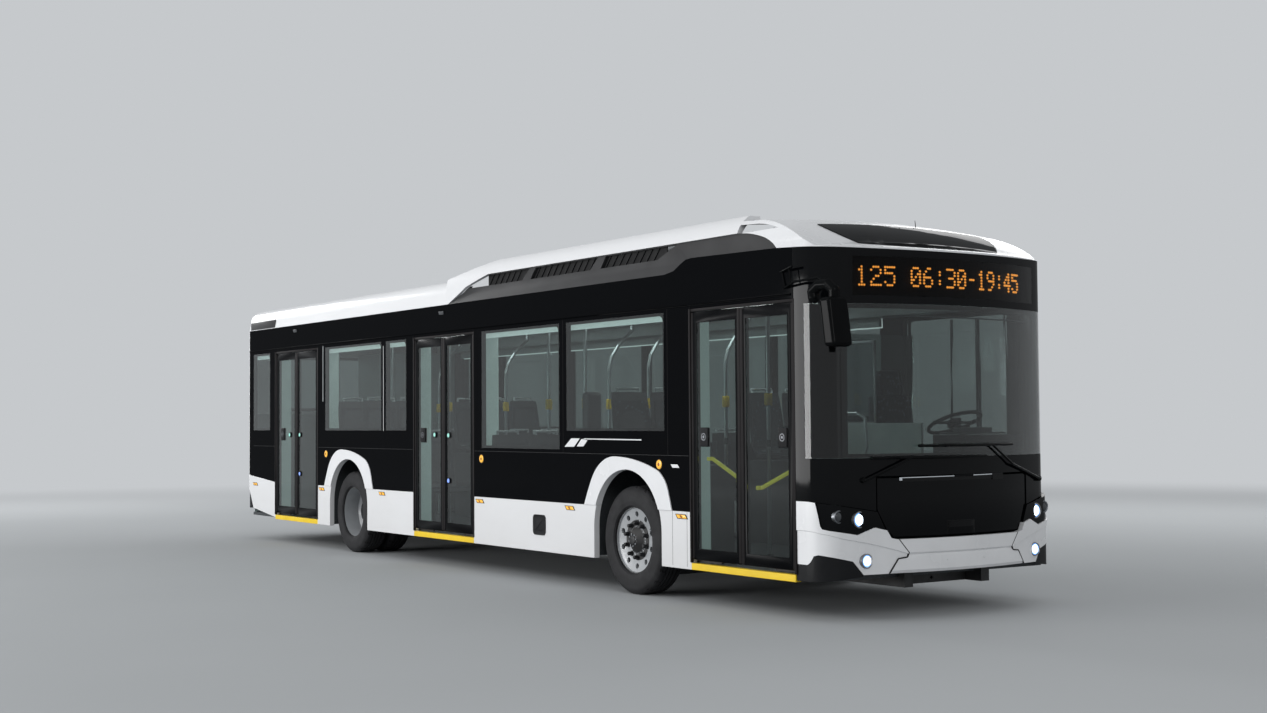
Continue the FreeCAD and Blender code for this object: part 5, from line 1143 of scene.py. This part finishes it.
def seat_sheet(bm, y, path, half, wrap, crown, thickness):
    """Sheet that follows a seat's side line, its edges turned up by wrap and its middle raised by crown."""
    part = bmesh.new()
    last = len(path) - 1
    bmesh.ops.create_grid(part, x_segments=last, y_segments=6, size=1.0)
    for v in part.verts:
        place = (v.co.x + 1) / 2 * last
        step = min(int(place + 0.0001), last - 1)
        (x0, z0), (x1, z1) = path[step], path[step + 1]
        share = place - step
        along = Vector((x1 - x0, 0, z1 - z0)).normalized()
        out = Vector((-along.z, 0, along.x))
        end_fall = 1 - abs(v.co.x) ** 6
        lift = wrap * abs(v.co.y) ** 4 + crown * (1 - v.co.y ** 4) * end_fall
        narrow = 1 - 0.1 * max(place / last - 0.8, 0) / 0.2
        spot = Vector((x0 + (x1 - x0) * share, 0, z0 + (z1 - z0) * share)) + out * lift
        v.co = (spot.x, y + v.co.y * half * narrow, spot.z)
    bmesh.ops.recalc_face_normals(part, faces=part.faces)
    bmesh.ops.solidify(part, geom=list(part.faces), thickness=thickness)
    bmesh.ops.recalc_face_normals(part, faces=part.faces)
    join(bm, part)


def passenger_seats():
    """Moulded double seats with thin padded fronts, grey grab loops on their backs and cantilever feet."""
    shells, pads, loops, feet = (bmesh.new() for _ in range(4))
    places = [(side, x, FLOOR_TOP + 0.455, FLOOR_TOP + 1.06) for side, x in FLOOR_SEATS]
    places += [(side, x, 1.25, 1.8) for side, x in BOX_SEATS]
    for side, x, top, back_top in places:
        rise = back_top - top
        path = [(x + 0.43, top - 0.05), (x + 0.415, top - 0.022), (x + 0.3, top - 0.026),
                (x + 0.15, top - 0.034), (x + 0.06, top - 0.022), (x + 0.025, top + 0.03), (x, top + 0.14),
                (x - 0.03, top + rise * 0.55), (x - 0.06, top + rise * 0.85), (x - 0.072, back_top - 0.004)]
        for place in (0, 1):
            y = side * (SEAT_WALL - SEAT_WIDTH * (place + 0.5))
            seat_sheet(shells, y, path, 0.207, 0.016, 0.0, 0.012)
            seat_sheet(pads, y, [(px, pz + 0.002) for px, pz in path[1:5]], 0.185, 0.0, 0.024, 0.02)
            seat_sheet(pads, y, [(px + 0.004, pz) for px, pz in path[5:9]], 0.185, 0.0, 0.022, 0.02)
            y0, y1 = y - 0.12, y + 0.12
            bar(loops, [(x - 0.075, y0, back_top - 0.1), (x - 0.1, y0, back_top + 0.03),
                        (x - 0.1, y1, back_top + 0.03), (x - 0.075, y1, back_top - 0.1)], 0.012, 10)
        middle = side * (SEAT_WALL - SEAT_WIDTH)
        block(feet, (x + 0.02, middle - 0.38, top - 0.075), (x + 0.38, middle + 0.38, top - 0.045))
        if top < 1.0:
            block(feet, (x + 0.13, middle - 0.05, FLOOR_TOP + 0.012), (x + 0.23, middle + 0.05, top - 0.06))
            block(feet, (x + 0.06, middle - 0.1, FLOOR_TOP), (x + 0.34, middle + 0.1, FLOOR_TOP + 0.014))
    round_edges(feet, 0.006)
    shell = finished("seat_shells", shells, "seat_shell", smooth=60.0)
    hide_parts("passenger_seats")
    padded = finished("seat_pads", pads, "moquette", smooth=60.0)
    finished("seat_grab_loops", loops, "handle_grey")
    finished("seat_feet", feet, "iron")


def crowned_cushion(bm, low, high, corner, crown):
    """Closed cushion form: a box with its faces divided, pulled in at the edges and full in the middle."""
    part = bmesh.new()
    block(part, (-1, -1, -1), (1, 1, 1))
    bmesh.ops.subdivide_edges(part, edges=list(part.edges), cuts=7, use_grid_fill=True)
    centre = (Vector(low) + Vector(high)) / 2
    half = (Vector(high) - Vector(low)) / 2
    for v in part.verts:
        x, y, z = v.co
        pull = Vector((x * (1 - corner * (y * y + z * z) / 2), y * (1 - corner * (x * x + z * z) / 2),
                       z * (1 - crown * (x ** 4 + y ** 4) / 2)))
        v.co = centre + Vector((pull.x * half.x, pull.y * half.y, pull.z * half.z))
    bmesh.ops.smooth_vert(part, verts=part.verts, factor=0.4, use_axis_x=True, use_axis_y=True,
                          use_axis_z=True)
    join(bm, part)


def cab_partition():
    """Splits the driver's partition by finish: dark glazed back panel, pale platform and half door."""
    platform_z, glass_z, panel_x = 0.72, 1.56, 4.103
    piece = softened("driver_partition", "cab_panel", 0.006)
    bm = bmesh.new()
    bm.from_mesh(piece.data)
    bmesh.ops.bisect_plane(bm, geom=bm.verts[:] + bm.edges[:] + bm.faces[:], plane_co=(0, 0, glass_z),
                           plane_no=(0, 0, 1))
    bm.to_mesh(piece.data)
    bm.free()
    for key in ("seat_shell", "door_glass"):
        piece.data.materials.append(MATERIALS[key])
    for face in piece.data.polygons:
        if face.center.x < panel_x and face.center.z > platform_z:
            face.material_index = 2 if face.center.z > glass_z else 1


def driver_place():
    """Driver's sprung seat with its headrest, arm and belt post, the dials, and the glazed cab screen."""
    cushions = bmesh.new()
    x, y = 4.43, 0.64
    crowned_cushion(cushions, (x + 0.02, y - 0.24, 1.085), (x + 0.49, y + 0.24, 1.2), 0.1, 0.3)
    part = bmesh.new()
    crowned_cushion(part, (-0.055, -0.23, 0.0), (0.055, 0.23, 0.56), 0.12, 0.06)
    crowned_cushion(part, (-0.05, -0.135, 0.55), (0.045, 0.135, 0.78), 0.12, 0.1)
    join(cushions, part, Matrix.Translation((x + 0.04, y, 1.19)) @ Matrix.Rotation(math.radians(-8), 4, "Y"))
    seat = finished("driver_seat_cushions", cushions, "moquette", smooth=60.0)
    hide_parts("driver_seat")
    rows = [((x + 0.09, y - 0.15, 0.745 + row * 0.057), (x + 0.39, y + 0.15, 0.745 + row * 0.057 + 0.048))
            for row in range(5)]
    boxes("driver_seat_base", "black_moulding", [
        ((x + 0.06, y - 0.19, 1.03), (x + 0.42, y + 0.19, 1.09)),
        ((x + 0.02, y - 0.21, 0.7), (x + 0.44, y + 0.21, 0.74)), *rows,
        ((x + 0.1, y - 0.3, 1.3), (x + 0.36, y - 0.25, 1.345)),
        ((x + 0.02, y - 0.29, 1.24), (x + 0.07, y - 0.24, 1.34))], 0.01, 3)
    boxes("cab_screen_glass", "lamp_cover", [((4.12, 0.19, 1.51), (4.685, 0.198, 2.2))])
    boxes("cab_screen_frame", "bare_aluminium", (
        ((4.1, 0.184, 2.19), (4.7, 0.204, 2.21)), ((4.68, 0.184, 1.49), (4.7, 0.204, 2.2)),
        ((4.1, 0.184, 1.495), (4.7, 0.204, 1.512))), 0.004)
    boxes("driver_window_frame", "grey_moulding", (
        ((4.55, 1.24, 1.3), (4.57, 1.255, 2.42)), ((4.86, 1.235, 1.3), (4.9, 1.255, 2.42))))
    blind = bmesh.new()
    bar(blind, [(nose_x(y) - 0.07, y, 2.33) for y in (-0.62, -0.3, 0.0, 0.3, 0.6, 0.92)], 0.006, 10)
    finished("sun_blind_bar", blind, "grey_metal")
    boxes("dash_instruments", "grey_moulding", (
        ((5.34, 0.3, 1.405), (5.43, 0.98, 1.42)), ((5.36, 0.44, 1.41), (5.42, 0.84, 1.46))), 0.012, 3)
    boxes("dash_displays", "dash_glow", [((5.354, 0.48, 1.418), (5.362, 0.8, 1.452))])


POLE_Y = 0.33
POLES = [(x, -POLE_Y) for x in (-5.3, -3.64, -2.1, -1.3, 0.18, 0.91, 2.42, 3.9)]
POLES += [(x, POLE_Y) for x in (-3.64, -1.91, 0.35, 1.1, 2.42, 3.8)]


def grab_poles():
    """Brushed poles, the left ones bent out to the duct at the top, with clamps and yellow stop buttons."""
    poles, clamps, buttons = bmesh.new(), bmesh.new(), bmesh.new()
    for x, y in POLES:
        lean = 0.3 if y > 0 else 0.0
        bar(poles, [(x, y, FLOOR_TOP), (x, y, 2.1), (x, y + lean * 0.1, 2.22), (x, y + lean * 0.4, 2.35),
                    (x, y + lean, 2.52), (x, y + lean, 2.59)], 0.0185, 14)
        tube(clamps, (x, y, FLOOR_TOP), (x, y, FLOOR_TOP + 0.02), 0.04, 24, 0.034)
        tube(clamps, (x, y, 1.3), (x, y, 1.36), 0.024, 20)
        if x > -4.0:
            block(buttons, (x - 0.024, y - 0.032, 1.66), (x + 0.024, y + 0.032, 1.77))
    round_edges(buttons, 0.01, 3)
    made = finished("grab_poles_bent", poles, "pole_metal")
    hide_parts("grab_poles")
    finished("grab_pole_clamps", clamps, "grey_moulding")
    finished("stop_buttons", buttons, "yellow")


def cabin_fittings():
    """Light cornices over the windows, the rail beside the front door, and the cabinet by the wheel."""
    strips, boards = [], []
    for side, spans in ((-1, ((-6.0, -5.33), (-3.62, -1.3), (0.37, 3.86))), (1, ((-4.6, 3.7),))):
        for x0, x1 in spans:
            strips.append(((x0, side * 1.2, 2.39), (x1, side * 1.213, 2.479)))
            boards.append(((x0, side * 1.15, 2.4), (x1, side * 1.199, 2.478)))
    # Rear wall's lining behind the last seats, which also covers the engine hatch's louvres
    boards.append(((-6.1105, -1.2, FLOOR_TOP), (-6.098, 0.33, 1.66)))
    boxes("ceiling_lights", "ceiling_lamp",
          [((-4.2, y - 0.06, 2.584), (4.2, y + 0.06, 2.598)) for y in (-0.24, 0.24)])
    boxes("lining_boards", "lining", boards)
    boxes("ceiling_light_strips", "strip_light", strips)
    rail, cabinet = bmesh.new(), bmesh.new()
    for line in (((4.08, 1.57), (4.9, 1.58), (5.0, 1.54), (5.02, 1.3), (4.87, 1.04), (4.87, 0.72)),
                 ((4.08, 1.57), (4.08, FLOOR_TOP)), ((4.87, 0.72), (4.87, FLOOR_TOP))):
        bar(rail, [(x, -0.2, z) for x, z in line], 0.0165, 12)
    finished("front_door_rail", rail, "pole_metal")
    block(cabinet, (2.2, -1.2, FLOOR_TOP), (2.32, -1.03, 1.81))
    round_edges(cabinet, 0.04, 4)
    finished("wheel_box_cabinet", cabinet, "seat_shell")


# Studio

def seen_rays(tree):
    """Is 1 for what the camera sees, straight or by way of metal and glass, and 0 for light on the bus."""
    ray = add(tree, "LightPath")
    seen = ray.outputs["Is Camera Ray"]
    for kind in ("Is Glossy Ray", "Is Transmission Ray"):
        seen = add(tree, "Math", {0: seen, 1: ray.outputs[kind]}, operation="MAXIMUM")
    return seen


def studio():
    """Pale floor and backdrop of one colour, even world light and soft lamps."""
    pale = linear("C6C9CC")
    floor_size = 90.0
    material, tree, where = blank("pale_studio_floor")
    shade = add(tree, "TexNoise", {"Vector": where, "Scale": 0.4, "Detail": 2.0})
    colour = add(tree, "Mix", {"Factor": shade, TONE_A: linear("B3B6B8"), TONE_B: linear("AFB2B4")},
                 data_type="RGBA")
    painted_floor = add(tree, "BsdfDiffuse", {"Color": colour.outputs[TONE]})
    # The floor fades into the backdrop 11 m to 26 m away, so no edge shows behind the bus
    far = add(tree, "VectorMath", {0: where}, operation="LENGTH")
    fade = add(tree, "MapRange", {"Value": far.outputs["Value"], "From Min": 11.0, "From Max": 26.0},
               interpolation_type="SMOOTHSTEP")
    backdrop = add(tree, "Emission", {"Color": pale, "Strength": 1.0})
    amount = add(tree, "Math", {0: seen_rays(tree), 1: fade}, operation="MULTIPLY")
    mix = add(tree, "MixShader", {0: amount, 1: painted_floor, 2: backdrop})
    add(tree, "OutputMaterial", {"Surface": mix})
    bm = bmesh.new()
    bmesh.ops.create_circle(bm, cap_ends=True, segments=96, radius=floor_size)
    mesh = bpy.data.meshes.new("studio_floor")
    bm.to_mesh(mesh)
    bm.free()
    mesh.materials.append(material)
    floor = bpy.data.objects.new("studio_floor", mesh)
    bpy.context.scene.collection.objects.link(floor)

    world = bpy.data.worlds.new("studio")
    world.use_nodes = True
    bpy.context.scene.world = world
    tree = world.node_tree
    tree.nodes.clear()
    light = add(tree, "Background", {"Color": linear("F2F4F6"), "Strength": WORLD_LIGHT})
    backdrop = add(tree, "Background", {"Color": pale, "Strength": 1.0})
    final = add(tree, "MixShader", {0: seen_rays(tree), 1: light, 2: backdrop})
    add(tree, "OutputWorld", {"Surface": final})

    for name, place, target, size, power in LAMPS:
        data = bpy.data.lights.new(name, "AREA")
        data.shape = "RECTANGLE"
        data.size, data.size_y = size
        data.energy = power
        lamp = bpy.data.objects.new(name, data)
        lamp.location = place
        lamp.visible_camera = False
        lamp.rotation_euler = (Vector(target) - Vector(place)).to_track_quat("-Z", "Y").to_euler()
        bpy.context.scene.collection.objects.link(lamp)


def photograph_camera():
    """Camera solved from the photograph's straight edges."""
    yaw, pitch, roll = math.radians(145.9411), math.radians(2.2748), -0.0072
    # Focal length and width of the photograph in pixels
    focal, picture_width = 1623.3238, 1267
    forward = Vector((math.cos(yaw) * math.cos(pitch), math.sin(yaw) * math.cos(pitch), math.sin(pitch)))
    right = forward.cross(Vector((0, 0, 1))).normalized()
    up = right.cross(forward)
    tilted_right = right * math.cos(roll) + up * math.sin(roll)
    tilted_up = up * math.cos(roll) - right * math.sin(roll)
    data = bpy.data.cameras.new("photograph")
    data.sensor_width = 36.0
    data.lens = focal / picture_width * data.sensor_width
    data.clip_start = 0.1
    data.clip_end = 400.0
    camera = bpy.data.objects.new("photograph", data)
    turn = Matrix((tilted_right, tilted_up, -forward)).transposed().to_4x4()
    camera.matrix_world = Matrix.Translation((15.035, -9.2847, 1.5328)) @ turn
    bpy.context.scene.collection.objects.link(camera)
    bpy.context.scene.camera = camera


def build():
    """Every piece, then the studio and the camera."""
    for make in (
            make_materials, body_shell, window_borders, tail_trims, drip_rails, side_stripe, side_markers,
            step_lamps, panel_seams, skirt_vent, left_side_grille, doors, door_surrounds, wheels, nose_panes,
            screen_print, destination_display, bumper_joints, flap_trim, wiper_blades, front_lamps,
            mirror_glass, roof_aerials, fairing_mesh_and_shade_boards, roof_fittings, rear_fittings, passenger_seats,
            cab_partition, driver_place, grab_poles, cabin_fittings, studio, photograph_camera):
        make()


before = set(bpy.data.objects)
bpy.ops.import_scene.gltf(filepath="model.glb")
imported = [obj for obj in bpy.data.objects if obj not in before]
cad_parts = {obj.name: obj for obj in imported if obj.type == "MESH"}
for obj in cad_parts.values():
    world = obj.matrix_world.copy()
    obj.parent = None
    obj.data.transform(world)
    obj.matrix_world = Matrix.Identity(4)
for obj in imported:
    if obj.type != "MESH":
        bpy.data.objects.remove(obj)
bpy.context.scene.view_settings.view_transform = "Standard"
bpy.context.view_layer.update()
build()
